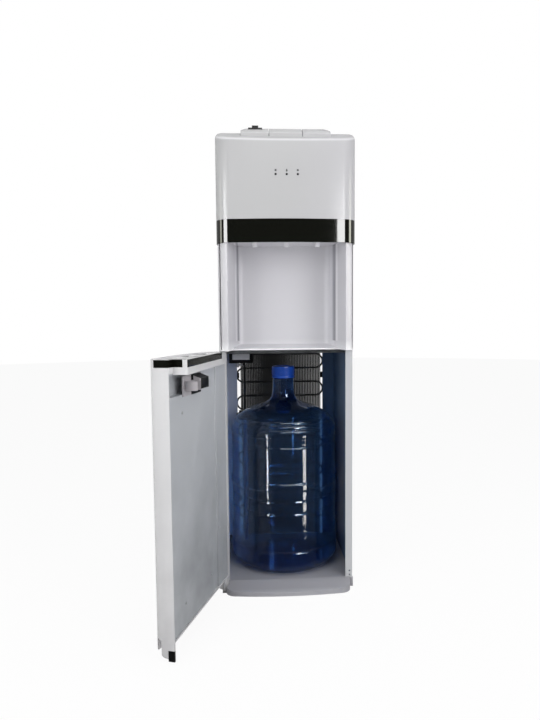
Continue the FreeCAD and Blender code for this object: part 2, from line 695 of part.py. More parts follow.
def head_cover():
    """Hollow control head: bowed face, soft crease, sloping crown, rounded shoulders."""
    outer = Solid("head_outer")
    outer.pad("XY", band_top, head_top, bow(head_half, size(0), size(0)))
    outer.pocket("YZ", -head_half, head_half, crown_line(size(0)))
    crease = head_top - D.crown_rise - D.front_apex
    outer.fillet(D.crown_fillet, lambda edge: (
        edge.BoundBox.ZMin > crease.value and edge.BoundBox.ZMax < head_top.value - 0.1
        and edge.BoundBox.XLength > D.crown_fillet.value
    ))
    shoulders(outer, head_half, head_top, D.shoulder_radius, -D.front_apex * 2, D.seam)

    inner = Solid("head_inner")
    wall = D.head_wall
    inner.pad("XY", band_top - wall, head_top - wall, bow(head_half, wall, wall))
    inner.pocket("YZ", -head_half, head_half, crown_line(wall * 1.15))
    shoulders(
        inner, head_half - wall, head_top - wall, D.shoulder_radius - wall,
        -D.front_apex * 2, wall * 2,
    )
    span = D.centre_button_half + D.button_gap + D.outer_button_width + D.slot_clearance
    opening = box(
        "button_opening", (-span, span),
        (-D.button_front_y - D.slot_clearance, D.slot_clearance - D.button_back_y),
        (head_top - D.front_apex, head_top + D.front_apex),
    )
    lenses = [
        cylinder("lens_hole_%d" % (k + 2), (D.lens_pitch * k, head_top - D.lens_drop),
                 (-D.front_apex * 1.2, -D.front_apex * 0.8), D.lens_radius + D.hinge_play, "Y")
        for k in (-1, 0, 1)
    ]
    keep(cut("head_cover_cut", outer.body, inner.body, opening, *lenses), "head_cover")


def head_band():
    solid = Solid("band_body")
    solid.pad("XY", band_bottom, band_top, bow(head_half, size(0), size(0)))
    solid.pocket("XY", band_bottom, band_top, bow(head_half, D.band_wall, D.band_wall))
    keep(solid.body, "head_band")


def top_cover():
    """Lid that laps over the side panels and meets the head along Y = 0."""
    back = depth + D.base_rear_step + D.sheet
    outer = Solid("lid_outer")
    outer.pad("XY", lid_bottom, head_top, rectangle(-head_half, head_half, 0, back))
    shoulders(outer, head_half, head_top, D.shoulder_radius, -D.seam, back + D.seam)
    wall = head_half - panel_half - D.seam
    inner = Solid("lid_inner")
    inside = rectangle(wall - head_half, head_half - wall, -D.head_wall, depth + D.sheet + D.seam)
    inner.pad("XY", lid_bottom - wall, head_top - D.head_wall, inside)
    shoulders(
        inner, head_half - wall, head_top - D.head_wall, D.shoulder_radius - wall,
        -D.head_wall * 2, back,
    )
    keep(cut("top_cover_cut", outer.body, inner.body), "top_cover")


def indicator_lenses():
    front = -D.front_apex - D.lens_proud
    lenses = [
        cylinder("lens_%d" % (k + 2), (D.lens_pitch * k, head_top - D.lens_drop),
                 (front, front + D.lens_length), D.lens_radius, "Y")
        for k in (-1, 0, 1)
    ]
    keep(group("lens_group", *lenses), "indicator_lenses")


def control_board():
    """Circuit board on two stand-offs behind the face of the head."""
    middle = head_top - D.lens_drop
    back_of_face = D.head_wall - D.front_apex
    front = back_of_face + D.board_standoff
    board = box(
        "board", (-D.board_half, D.board_half), (front, front + D.board_thickness),
        (middle - D.board_height / 2, middle + D.board_height / 2),
    )
    post_x = D.board_half - D.rod_radius * 2
    sag = bow_front_y(post_x, size(0)) + D.front_apex
    posts = [
        cylinder("board_post_%d" % (k + 2), (post_x * k, middle),
                 (back_of_face + sag + D.seam, front), D.rod_radius, "Y")
        for k in (-1, 1)
    ]
    keep(fuse("control_board_fuse", board, *posts), "control_board")


# ---------------------------------------------------------------- buttons and taps

def button_top(y):
    """Height of the buttons' sloping top at a depth y in front of the flange plane."""
    front = head_top - D.crown_rise + D.button_front_height
    rise = D.button_back_height - D.button_front_height
    share = (D.button_front_y - y) / (D.button_front_y - D.button_back_y)
    return front + rise * share


def button(label, left, right, rod_x, round_left, round_right):
    """Wedge-shaped push button with the rod that reaches down to its tap."""
    low = head_top - D.crown_rise
    nose = D.button_nose
    slope = (D.button_back_height - D.button_front_height) / (D.button_front_y - D.button_back_y)
    top_front = button_top(D.button_front_y)
    top_back = button_top(D.button_back_y)
    profile = [
        (-D.button_front_y, low), (-D.button_back_y, low),
        (-D.button_back_y, top_back - slope * nose - nose * 0.4),
        (-D.button_back_y - nose, top_back - slope * nose),
        (nose - D.button_front_y, top_front + slope * nose), (-D.button_front_y, top_front - nose * 0.6),
    ]
    solid = Solid(label + "_body").pad("YZ", left, right, profile)
    drop = D.button_end_drop
    width = D.button_end_width
    peak = top_back + nose
    base = top_back - drop
    if round_left:
        solid.pocket("XZ", -D.front_apex, 0, [
            (left, base, -D.button_end_radius), (left + width, top_back),
            (left + width, peak), (left - nose, peak), (left - nose, base),
        ])
    if round_right:
        solid.pocket("XZ", -D.front_apex, 0, [
            (right - width, top_back, -D.button_end_radius), (right, base),
            (right + nose, base), (right + nose, peak), (right - width, peak),
        ])
    tap_top = shelf_level + D.tap_height
    rod_foot = tap_top - D.rod_engagement + D.button_travel + D.rod_bore - D.rod_radius
    solid.pad("XY", rod_foot, low, circle(rod_x, -D.tap_y, D.rod_radius))
    return solid


def buttons():
    inner = D.centre_button_half + D.button_gap
    outer = inner + D.outer_button_width
    hot = button("hot_button", -outer, -inner, -D.tap_pitch, True, False)
    slot_left = -D.lock_x - D.lock_tongue_half - D.lock_travel - D.seam
    slot_right = D.lock_tongue_half + D.seam - D.lock_x
    middle = -(D.lock_front_y + D.lock_back_y) / 2
    low = button_top(-middle) - D.lock_tongue_depth - D.seam
    reach = (D.lock_tongue_width + D.seam * 2) / 2
    hot.pocket("XY", low, low + D.front_apex, rectangle(slot_left, slot_right, middle - reach, middle + reach))
    keep(hot.body, "hot_button")
    room = button("room_button", -D.centre_button_half, D.centre_button_half, size(0), False, False)
    keep(room.body, "room_button")
    cold = button("cold_button", inner, outer, D.tap_pitch, False, True)
    keep(cold.body, "cold_button")


def child_lock():
    """Sliding lock on the hot button: plate, knob and a tongue in the button's slot."""
    gap = D.seam
    front = -D.lock_front_y
    back = -D.lock_back_y
    low_front = button_top(D.lock_front_y) + gap
    low_back = button_top(D.lock_back_y) + gap
    plate = [
        (front, low_front), (back, low_back), (back, low_back + D.lock_plate),
        (front, low_front + D.lock_plate),
    ]
    solid = Solid("lock_body")
    solid.pad("YZ", -D.lock_x - D.lock_half, D.lock_half - D.lock_x, plate)
    knob_top = low_back + D.lock_plate + D.lock_knob_height
    inset = D.lock_plate
    knob = [
        (front + inset, low_front + inset), (back - inset, low_back + inset * 0.5),
        (back - inset, knob_top), (front + inset * 2, knob_top - D.lock_plate),
    ]
    solid.pad("YZ", -D.lock_x - D.lock_knob_half, D.lock_knob_half - D.lock_x, knob)
    middle = (front + back) / 2
    foot = button_top(-middle) - D.lock_tongue_depth
    half = D.lock_tongue_width / 2
    tongue = rectangle(-D.lock_x - D.lock_tongue_half, D.lock_tongue_half - D.lock_x, middle - half, middle + half)
    solid.pad("XY", foot, button_top(-middle) + gap + D.lock_plate / 2, tongue)
    keep(solid.body, "child_lock")


def tap(label, x):
    """Tap body hung in the recess roof: nozzle below, flange above, blind bore for the rod."""
    nozzle_bottom = band_bottom + D.ceiling_front - D.nozzle_drop
    neck = band_bottom + D.ceiling_front
    top = shelf_level + D.tap_height
    y = -D.tap_y
    solid = Solid(label + "_body")
    solid.pad("XY", neck, top, circle(x, y, D.tap_radius))
    solid.pad("XY", nozzle_bottom, neck, circle(x, y, D.nozzle_radius))
    solid.pad("XY", shelf_level, shelf_level + D.tap_flange, circle(x, y, D.tap_flange_radius))
    inlet = shelf_level + D.tap_inlet_rise
    solid.pad("XZ", y, y + D.tap_radius + D.tap_inlet_length, circle(x, inlet, D.tap_inlet_radius))
    solid.pocket("XY", top - D.rod_engagement, top, circle(x, y, D.rod_bore))
    solid.pocket("XY", nozzle_bottom, neck, circle(x, y, D.nozzle_radius * 0.6))
    keep(solid.body, label)


def taps():
    tap("hot_tap", -D.tap_pitch)
    tap("room_tap", size(0))
    tap("cold_tap", D.tap_pitch)


# ---------------------------------------------------------------- tanks and hoses above

def tanks():
    foot = shelf_level + D.deck_sheet
    cold = (D.cold_tank_x, D.cold_tank_y)
    tank = cylinder("cold_tank_body", cold, (foot, foot + D.cold_tank_height), D.cold_tank_radius)
    keep(tank, "cold_tank")
    sleeve_in = D.cold_tank_radius + D.tank_play
    sleeve_out = sleeve_in + D.evaporator_thickness
    low = foot + D.insulation_cover
    high = foot + D.cold_tank_height - D.insulation_cover
    sleeve = Solid("evaporator_body").pad("XY", low, high, circle(*cold, sleeve_out))
    sleeve.pocket("XY", low, high, circle(*cold, sleeve_in))
    keep(sleeve.body, "evaporator")
    foam_in = sleeve_out + D.tank_play
    foam = Solid("insulation_body")
    foam.pad("XY", foot, foot + D.cold_tank_height, circle(*cold, foam_in + D.insulation_thickness))
    foam.pocket("XY", foot, foot + D.cold_tank_height, circle(*cold, foam_in))
    keep(foam.body, "tank_insulation")
    hot = (-D.hot_tank_x, D.hot_tank_y)
    keep(cylinder("hot_tank_body", hot, (foot, foot + D.hot_tank_height), D.hot_tank_radius), "hot_tank")
    band_low = foot + D.heater_rise
    band_in = D.hot_tank_radius + D.tank_play / 2
    heater = Solid("heater_body")
    heater.pad("XY", band_low, band_low + D.heater_width, circle(*hot, band_in + D.heater_thickness))
    heater.pocket("XY", band_low, band_low + D.heater_width, circle(*hot, band_in))
    keep(heater.body, "heater_band")


def tap_hoses():
    """Three straight silicone hoses from the taps' inlets back to the tanks."""
    level = shelf_level + D.tap_inlet_rise
    start = D.tap_radius - D.tap_y + D.tap_inlet_length
    foam = D.cold_tank_radius + D.tank_play * 2 + D.evaporator_thickness + D.insulation_thickness

    def wall_y(x, centre_x, centre_y, radius):
        away = size(x) - centre_x
        near = away - D.tap_hose_radius if number(away) > 0 else away + D.tap_hose_radius
        return centre_y - root(radius * radius - near * near) - D.seam

    ends = (
        (-D.tap_pitch, wall_y(-D.tap_pitch, -D.hot_tank_x, D.hot_tank_y, D.hot_tank_radius)),
        (size(0), wall_y(size(0), D.cold_tank_x, D.cold_tank_y, foam)),
        (D.tap_pitch, wall_y(D.tap_pitch, D.cold_tank_x, D.cold_tank_y, foam)),
    )
    hoses = [
        cylinder("tap_hose_%d" % k, (x, level), (start, end), D.tap_hose_radius, "Y")
        for k, (x, end) in enumerate(ends, 1)
    ]
    keep(group("tap_hose_group", *hoses), "tap_hoses")


# ---------------------------------------------------------------- tubes

def tube(name, points, bend, radius, pieces=()):
    """Round tube through corner points with one bend radius, as a Part::Feature.
    Returns the solid and its developed length."""
    corners = [V(*[number(c) for c in point]) for point in points]
    bend = number(bend)
    edges = []
    here = corners[0]
    length = 0
    for before, corner, after in zip(corners, corners[1:], corners[2:]):
        back = (before - corner).normalize()
        ahead = (after - corner).normalize()
        half_turn = (math.pi - back.getAngle(ahead)) / 2
        away = bend * math.tan(half_turn)
        first = corner + back * away
        last = corner + ahead * away
        middle_line = (back + ahead).normalize()
        middle = corner + middle_line * (bend / math.cos(half_turn) - bend)
        if (first - here).Length > 1e-6:
            edges.append(Part.LineSegment(here, first).toShape())
        edges.append(Part.Arc(first, middle, last).toShape())
        length += (first - here).Length + 2 * half_turn * bend
        here = last
    edges.append(Part.LineSegment(here, corners[-1]).toShape())
    length += (corners[-1] - here).Length
    path = Part.Wire(edges)
    direction = (corners[1] - corners[0]).normalize()
    ring = Part.Wire(Part.makeCircle(number(radius), corners[0], direction))
    solid = path.makePipeShell([ring], True, False)
    section = math.pi * number(radius) ** 2
    if abs(solid.Volume - section * length) > 0.01 * section * length:
        raise RuntimeError("%s: volume %.1f, expected %.1f" % (name, solid.Volume, section * length))
    return solid


def feature(label, *shapes):
    piece = doc.addObject("Part::Feature", label)
    piece.Shape = shapes[0] if len(shapes) == 1 else Part.makeCompound(list(shapes))
    piece.Placement = FreeCAD.Placement()
    return keep(piece, label)


def condenser():
    """Serpentine tube, its two layers of wires, and the brackets on the rear flanges."""
    rows = int(D.coil_rows.value)
    bend = D.coil_pitch / 2
    half = D.coil_half
    top = coil_top
    bottom = top - D.coil_pitch * (rows - 1)
    entry_top = deck_level + D.deck_sheet + D.coil_rise
    points = [(-half, coil_y, entry_top), (-half, coil_y, top)]
    for row in range(rows - 1):
        side = half if row % 2 == 0 else -half
        level = top - D.coil_pitch * row
        points.append((side, coil_y, level))
        points.append((side, coil_y, level - D.coil_pitch))
    riser = D.coil_riser_x if rows % 2 else -D.coil_riser_x
    serpentine = tube("serpentine", points + [(0, coil_y, bottom)], bend, D.coil_radius)
    outlet = tube(
        "outlet", [(0, coil_y, bottom), (riser, coil_y, bottom), (riser, coil_y, entry_top)],
        D.coil_riser_bend, D.coil_radius,
    )
    print("condenser tube: least gap to itself %.1f mm" % (
        min(D.coil_pitch.value, D.coil_riser_x.value - half.value) - 2 * D.coil_radius.value))
    feature("condenser_tube", serpentine.fuse(outlet))

    wires = []
    count = int(D.wire_count.value)
    reach = D.wire_half.value
    radius = D.wire_radius.value
    offset = D.coil_radius.value + radius + D.wire_seat.value
    low = bottom.value - D.wire_over.value
    high = top.value + D.wire_over.value
    for layer in (-1, 1):
        for k in range(count):
            x = -reach + 2 * reach * k / (count - 1)
            centre = V(x, coil_y.value + layer * offset, low)
            ring = [
                centre + V(radius * math.cos(math.pi * (2 * j + 1) / 6), radius * math.sin(math.pi * (2 * j + 1) / 6), 0)
                for j in range(6)
            ]
            face = Part.Face(Part.makePolygon(ring + ring[:1]))
            wires.append(face.extrude(V(0, 0, high - low)))
    feature("condenser_wires", *wires)

    plates = []
    seat = D.coil_stand_off - D.coil_radius - D.wire_seat
    for side in (-1, 1):
        for level in (top - D.coil_pitch * 1.5, bottom + D.coil_pitch * 1.5):
            name = "bracket_%d" % (len(plates) + 1)
            edge = D.bracket_edge
            plate_x = (edge, edge + D.bracket_width) if side > 0 else (-edge - D.bracket_width, -edge)
            arm_x = (edge, edge + D.bracket_arm) if side > 0 else (-edge - D.bracket_arm, -edge)
            tall = D.bracket_height / 2
            plate = box(name + "_plate", plate_x, (depth, depth + D.deck_sheet), (level - tall, level + tall))
            arm = box(name + "_arm", arm_x, (depth, depth + seat), (level - tall / 2, level + tall / 2))
            plates.append(fuse(name, plate, arm))
    keep(group("bracket_group", *plates), "condenser_brackets")


def compressor():
    """Hermetic compressor on a foot plate and four rubber grommets."""
    foot = deck_level + D.deck_sheet + D.grommet_height
    x = -D.compressor_x
    y = D.compressor_y
    radius = D.compressor_radius
    dome = D.compressor_dome
    top = foot + D.compressor_height
    low = foot + D.foot_plate
    waist = radius - dome
    shell = Solid("compressor_shell").revolve([
        (0, low), (waist, low, dome), (radius, low + dome), (radius, top - dome, dome),
        (waist, top), (0, top),
    ])
    place(shell.body, x, y)
    plate = box("compressor_plate", (x - D.foot_half_x, x + D.foot_half_x),
                (y - D.foot_half_y, y + D.foot_half_y), (foot, foot + D.foot_plate))
    keep(fuse("compressor_fuse", shell.body, plate), "compressor")
    spread_x = D.foot_half_x - D.grommet_inset
    spread_y = D.foot_half_y - D.grommet_inset
    grommets = [
        cylinder("grommet_%d%d" % (i + 2, j + 2), (x + spread_x * i, y + spread_y * j),
                 (deck_level + D.deck_sheet, foot), D.grommet_radius)
        for i in (-1, 1) for j in (-1, 1)
    ]
    keep(group("grommet_group", *grommets), "compressor_grommets")


def cooling_lines():
    """Discharge and liquid lines between compressor, condenser and filter dryer."""
    bend = D.coil_riser_bend / 2
    entry = deck_level + D.deck_sheet + D.coil_rise
    level = entry + D.coil_riser_bend
    inside_x = panel_half - D.rear_flange - D.coil_radius - D.line_step
    line_y = D.dryer_y + D.dryer_radius
    discharge = tube("discharge", [
        (-D.coil_half, coil_y, entry), (-D.coil_half, coil_y, level), (-inside_x + bend, coil_y, level),
        (-inside_x + bend, line_y, level), (-D.compressor_x, line_y, level),
        (-D.compressor_x, D.compressor_y + D.compressor_radius + D.seam, level),
    ], bend, D.coil_radius)
    low = level + D.coil_riser_bend * 3
    liquid = tube("liquid", [
        (D.coil_riser_x, coil_y, entry), (D.coil_riser_x, coil_y, level), (inside_x, coil_y, level),
        (inside_x, D.dryer_y, level), (inside_x, D.dryer_y, low),
    ], bend, D.coil_radius)
    feature("refrigerant_lines", discharge, liquid)
    dryer = cylinder("dryer_body", (inside_x, D.dryer_y), (low, low + D.dryer_height), D.dryer_radius)
    keep(dryer, "filter_dryer")


# ---------------------------------------------------------------- pump and its hoses

def pump():
    """Pump box hung under the deck, with a bare plate on its face and a port block below."""
    left = -D.pump_x - D.pump_half_x
    right = D.pump_half_x - D.pump_x
    top = deck_level - D.pump_drop
    low = top - D.pump_height
    front = D.pump_front_y
    solid = Solid("pump_body")
    solid.pad("XY", low, top, rectangle(left, right, front, front + D.pump_length))
    solid.fillet(D.pump_corner, lambda edge: edge.BoundBox.ZLength > number(D.pump_height) / 2)
    label = low + D.pump_label_rise
    solid.pad("XZ", front - D.pump_label_proud, front, rectangle(
        -D.pump_x - D.pump_label_half, D.pump_label_half - D.pump_x, label, label + D.pump_label_height))
    keep(solid.body, "pump")
    back = front + D.pump_length
    middle = front + D.pump_length / 2
    hanger = Solid("hanger_body")
    edge = left + D.hanger_sheet * 2
    foot = [
        (edge, top), (edge + D.hanger_half * 2, top), (edge + D.hanger_half * 2, top + D.hanger_sheet),
        (edge + D.hanger_sheet, top + D.hanger_sheet),
        (edge + D.hanger_sheet, deck_level - D.hanger_sheet),
        (edge + D.hanger_half * 2, deck_level - D.hanger_sheet), (edge + D.hanger_half * 2, deck_level),
        (edge, deck_level),
    ]
    hanger.pad("XZ", middle - D.hanger_half, middle + D.hanger_half, foot)
    keep(hanger.body, "pump_bracket")


def pump_hoses():
    """Suction hose down to the probe, its collar and straw, and the outlet hose to the tank."""
    top = deck_level - D.pump_drop
    port = top - D.pump_height
    collar_top = D.base_height + D.probe_level + D.probe_height
    hose = cylinder("suction_body", (-D.suction_x, D.suction_y), (collar_top, port), D.hose_radius)
    keep(hose, "suction_hose")
    collar = Solid("collar_body")
    spot = (-D.suction_x, D.suction_y)
    low = D.base_height + D.probe_level
    collar.pad("XY", low, collar_top - D.probe_height / 3, circle(*spot, D.probe_radius))
    collar.pad("XY", collar_top - D.probe_height / 3, collar_top, circle(*spot, D.probe_radius * 0.7))
    keep(collar.body, "probe_collar")
    straw = Solid("straw_body").pad("XY", D.base_height, low, circle(*spot, D.straw_radius))
    wall = D.straw_radius / 6
    straw.pocket("XY", D.base_height, low, circle(*spot, D.straw_radius - wall))
    keep(straw.body, "probe_straw")

    outlet = (-D.outlet_x, D.outlet_y)
    low = port - D.pump_port_drop
    fitting = cylinder("fitting", outlet, (low, port), D.fitting_radius)
    keep(fitting, "outlet_fitting")
    foot = low + D.fitting_radius
    level = shelf_level + D.deck_sheet + D.outlet_rise
    foam = D.cold_tank_radius + D.tank_play * 2 + D.evaporator_thickness + D.insulation_thickness
    goal = D.cold_tank_y + foam
    feature("pump_outlet_hose", tube("outlet_hose", [
        (-D.outlet_x, D.outlet_y + D.fitting_radius, foot), (-D.outlet_x, D.outlet_back_y, foot),
        (-D.outlet_riser_x, D.outlet_back_y, foot), (-D.outlet_riser_x, D.outlet_back_y, level),
        (D.cold_tank_x, D.outlet_back_y, level),
        (D.cold_tank_x, goal + D.seam, level),
    ], D.outlet_bend, D.outlet_radius))


# ---------------------------------------------------------------- bottle

def bottle():
    """Blow-moulded bottle: three plain belts, two sunk panels with grooves, domed shoulder."""
    full = D.bottle_radius
    sunk = full - D.bottle_panel_depth
    groove = D.bottle_groove_depth
    half_groove = D.bottle_groove_width / 2
    step = D.bottle_belt_step

    def ring(radius, height):
        return [
            (radius, height - half_groove), (radius - groove, height), (radius, height + half_groove),
        ]

    neck_foot = D.bottle_height - D.cap_height - D.neck_root_drop
    rim_height = D.bottle_height - D.shoulder_start
    dome = D.bottle_height - D.shoulder_rim_drop
    top = D.bottle_height - D.cap_height
    outline = [(0, 0), (D.bottle_foot_radius, 0, D.bottle_foot_rise * 1.1)]
    outline += [(full, D.bottle_foot_rise)]
    outline += ring(full, D.bottle_groove_1) + ring(full, D.bottle_groove_2)
    outline += [(full, D.bottle_low_belt_top - step), (sunk, D.bottle_low_belt_top)]
    outline += ring(sunk, D.bottle_groove_3) + ring(sunk, D.bottle_groove_4)
    belt = D.bottle_mid_belt_width / 2
    outline += [
        (sunk, D.bottle_mid_belt - belt - step), (full, D.bottle_mid_belt - belt),
        (full, D.bottle_mid_belt + belt), (sunk, D.bottle_mid_belt + belt + step),
    ]
    outline += ring(sunk, D.bottle_groove_5)
    outline += [(sunk, D.bottle_top_belt - step), (full, D.bottle_top_belt)]
    outline += ring(full, D.bottle_groove_6) + ring(full, D.bottle_groove_7)
    root_width = D.neck_root_width
    outline += [
        (full, rim_height, D.bottle_radius - D.shoulder_rim_radius + D.bottle_belt_step),
        (D.shoulder_rim_radius, dome),
        (D.neck_radius + root_width * 2, neck_foot + root_width, -root_width * 2),
        (D.neck_radius, neck_foot + root_width * 2), (D.neck_radius, top), (0, top),
    ]
    solid = Solid("bottle_body").revolve(outline)
    place(solid.body, 0, bottle_y, D.base_height + D.seam)
    keep(solid.body, "bottle")
    cap = Solid("cap_body").revolve([
        (0, top), (D.cap_radius, top), (D.cap_radius, D.bottle_height - D.cap_skirt * 3, D.cap_skirt * 3),
        (D.cap_radius - D.cap_skirt * 3, D.bottle_height), (0, D.bottle_height),
    ])
    place(cap.body, 0, bottle_y, D.base_height + D.seam)
    keep(cap.body, "bottle_cap")


# ---------------------------------------------------------------- rear panel and its fittings

def rear_places():
    """Centres of the gland, the drain and the two switches, as (x, z)."""
    base = rear_panel_bottom
    gland = (D.gland_x, base + D.gland_rise)
    drain = (-D.spigot_x, shelf_level + D.deck_sheet + D.spigot_rise)
    switches = [(D.switch_x - D.switch_pitch * k, base + D.switch_rise) for k in (0, 1)]
    return gland, drain, switches


def rear_upper_panel():
    """Louvred sheet across the rear flanges with openings for gland, drain and switches."""
    gland, drain, switches = rear_places()
    top = lid_bottom - D.sheet
    half = D.rear_panel_half
    solid = Solid("rear_panel_body")
    solid.pad("XZ", depth, depth + D.sheet, rectangle(-half, half, rear_panel_bottom, top))
    slots = []
    for row in range(int(D.slot_rows.value)):
        low = rear_panel_bottom + D.slot_first + D.slot_pitch * row
        for side in (-1, 0):
            x = D.slot_column_x * side
            slots.append(rectangle(x - D.slot_half, x + D.slot_half, low, low + D.slot_height))
    solid.pocket("XZ", depth, depth + D.sheet, *slots)
    holes = [circle(*gland, D.gland_radius + D.seam), circle(*drain, D.spigot_radius + D.seam)]
    wide = D.rocker_half_width + D.rocker_side_gap + D.bezel_wall + D.seam
    tall = D.rocker_half + D.rocker_side_gap * 4 + D.bezel_wall + D.seam
    holes += [rectangle(x - wide, x + wide, z - tall, z + tall) for x, z in switches]
    solid.pocket("XZ", depth, depth + D.sheet, *holes)
    keep(solid.body, "rear_upper_panel")
    x = half - D.screw_inset
    levels = (rear_panel_bottom + D.screw_inset, (rear_panel_bottom + top) / 2, top - D.screw_inset)
    start = depth + D.sheet
    screws = [
        cylinder("panel_screw_%d%d" % (side + 2, k), (x * side, level),
                 (start, start + D.screw_height), D.screw_radius, "Y")
        for side in (-1, 1) for k, level in enumerate(levels)
    ]
    keep(group("panel_screw_group", *screws), "rear_panel_screws")


def rear_fittings():
    gland, drain, switches = rear_places()
    face = depth + D.sheet
    entry = Solid("gland_body")
    entry.pad("XZ", face - D.gland_length, face, circle(*gland, D.gland_radius))
    entry.pad("XZ", face, face + D.gland_length / 3, circle(*gland, D.gland_radius * 1.5))
    entry.pocket("XZ", face - D.gland_length / 3, face + D.gland_length / 3, circle(*gland, D.gland_radius / 2))
    keep(entry.body, "power_inlet")

    spigot = Solid("spigot_body")
    tank_back = D.hot_tank_y + D.hot_tank_radius + D.seam
    spigot.pad("XZ", tank_back, face + D.spigot_length, circle(*drain, D.spigot_radius))
    spigot.pad("XZ", face, face + D.sheet * 2, circle(*drain, D.spigot_flange))
    keep(spigot.body, "drain_spigot")
    start = face + D.sheet * 2 + D.seam
    bore = D.spigot_length - D.sheet * 2
    cap = Solid("drain_cap_body")
    cap.pad("XZ", start, start + D.drain_cap_length, circle(*drain, D.drain_cap_radius))
    grips = 6
    notch = D.drain_cap_radius / 6
    flutes = [
        circle(
            drain[0] + D.drain_cap_radius * math.cos(2 * math.pi * k / grips),
            drain[1] + D.drain_cap_radius * math.sin(2 * math.pi * k / grips), notch,
        )
        for k in range(grips)
    ]
    cap.pocket("XZ", start, start + D.drain_cap_length, *flutes)
    cap.pocket("XZ", start, start + bore, circle(*drain, D.spigot_radius + D.thread_clearance))
    keep(cap.body, "drain_cap")

    bezels = []
    inner_x = D.rocker_half_width + D.rocker_side_gap
    inner_z = D.rocker_half + D.rocker_side_gap * 4
    for k, (x, z) in enumerate(switches, 1):
        bezel = Solid("bezel_%d" % k)
        wall_x = inner_x + D.bezel_wall
        wall_z = inner_z + D.bezel_wall
        bezel.pad("XZ", face, face + D.bezel_thickness, rectangle(
            x - wall_x - D.bezel_lip, x + wall_x + D.bezel_lip,
            z - wall_z - D.bezel_lip, z + wall_z + D.bezel_lip))
        bezel.pad("XZ", face - D.bezel_depth, face, rectangle(x - wall_x, x + wall_x, z - wall_z, z + wall_z))
        bezel.pocket("XZ", face - D.bezel_depth, face + D.bezel_thickness, rectangle(
            x - inner_x, x + inner_x, z - inner_z, z + inner_z))
        bore = circle(rocker_axis_y(), z, D.rocker_pin + D.pin_play)
        bezel.pocket("YZ", x - wall_x + D.bezel_wall / 3, x + wall_x - D.bezel_wall / 3, bore)
        bezels.append(bezel.body)
    keep(group("bezel_group", *bezels), "switch_bezels")
    names = ("hot_switch", "cold_switch")
    for label, (x, z) in zip(names, switches):
        rocker(label, x, z)


def rocker_axis_y():
    return depth - D.bezel_depth / 3


def rocker(label, x, z):
    """Rocker on two pins, resting tilted to its off side."""
    out = D.rocker_proud + D.bezel_depth / 3
    inn = D.bezel_depth / 3
    half = D.rocker_half
    solid = Solid(label + "_body")
    solid.pad("YZ", -D.rocker_half_width, D.rocker_half_width, [
        (-inn, -half * 0.7), (out - D.rocker_pin, -half), (out * 0.7, 0), (out - D.rocker_pin, half),
        (-inn, half * 0.7),
    ])
    reach = D.rocker_half_width + D.rocker_side_gap + D.bezel_wall / 2
    solid.pad("YZ", -reach, reach, circle(0, 0, D.rocker_pin))
    place(solid.body, x, rocker_axis_y(), z)
    solid.body.setExpression("Placement.Rotation.Angle", D.rocker_tilt.text)
    solid.body.setExpression("Placement.Rotation.Axis.x", "1")
    solid.body.setExpression("Placement.Rotation.Axis.y", "0")
    solid.body.setExpression("Placement.Rotation.Axis.z", "0")
    keep(solid.body, label)


# ---------------------------------------------------------------- hinge

def hinge_brackets():
    """Lower plate let into the base and upper plate under the recess frame, each with a pin."""
    left = hinge_x - D.hinge_plate_nose
    front = hinge_y - D.hinge_plate_nose
    low = D.hinge_plate_gap
    high = low + D.hinge_plate
    lower = Solid("lower_hinge_body")
    lower.pad("XY", low, high, rectangle(left, left + D.hinge_plate_width, front, D.hinge_plate_back))
    lower.pad("XY", high, high + D.lower_pin_length, circle(hinge_x, hinge_y, D.hinge_pin))
    keep(lower.body, "lower_hinge_bracket")
    low = frame_bottom - D.upper_plate
    side = head_half - D.frame_inset
    upper = Solid("upper_hinge_body")
    upper.pad("XY", low, frame_bottom, rectangle(
        -side, D.upper_plate_width - side, -D.upper_plate_front, -D.door_back_gap))
    upper.pad("XY", low - D.upper_pin_length, low, circle(hinge_x, hinge_y, D.hinge_pin))
    keep(upper.body, "upper_hinge_bracket")


# ---------------------------------------------------------------- door, drawn closed

def hinge_bore(low, high):
    return cylinder("hinge_bore_%d" % len(doc.Objects), (hinge_x, hinge_y), (low, high),
                    D.hinge_pin + D.hinge_play)


def boss_plan(extra):
    """Boss round the hinge pin, joined to the door's side."""
    radius = D.hinge_boss + extra
    return [
        (-door_half, hinge_y - radius), (hinge_x, hinge_y - radius, radius),
        (hinge_x + radius, hinge_y, radius), (hinge_x, hinge_y + radius),
        (-door_half, hinge_y + radius),
    ]


def lip_room(extra):
    """Room in the door's foot for the base's front lip, as limits in X and Y and a height."""
    half = D.lip_half_width + D.lip_side_room + extra
    front = D.lip_apex + D.lip_front_room + extra
    return rectangle(-half, half, -front, D.front_apex), D.base_height + D.lip_top_room + extra


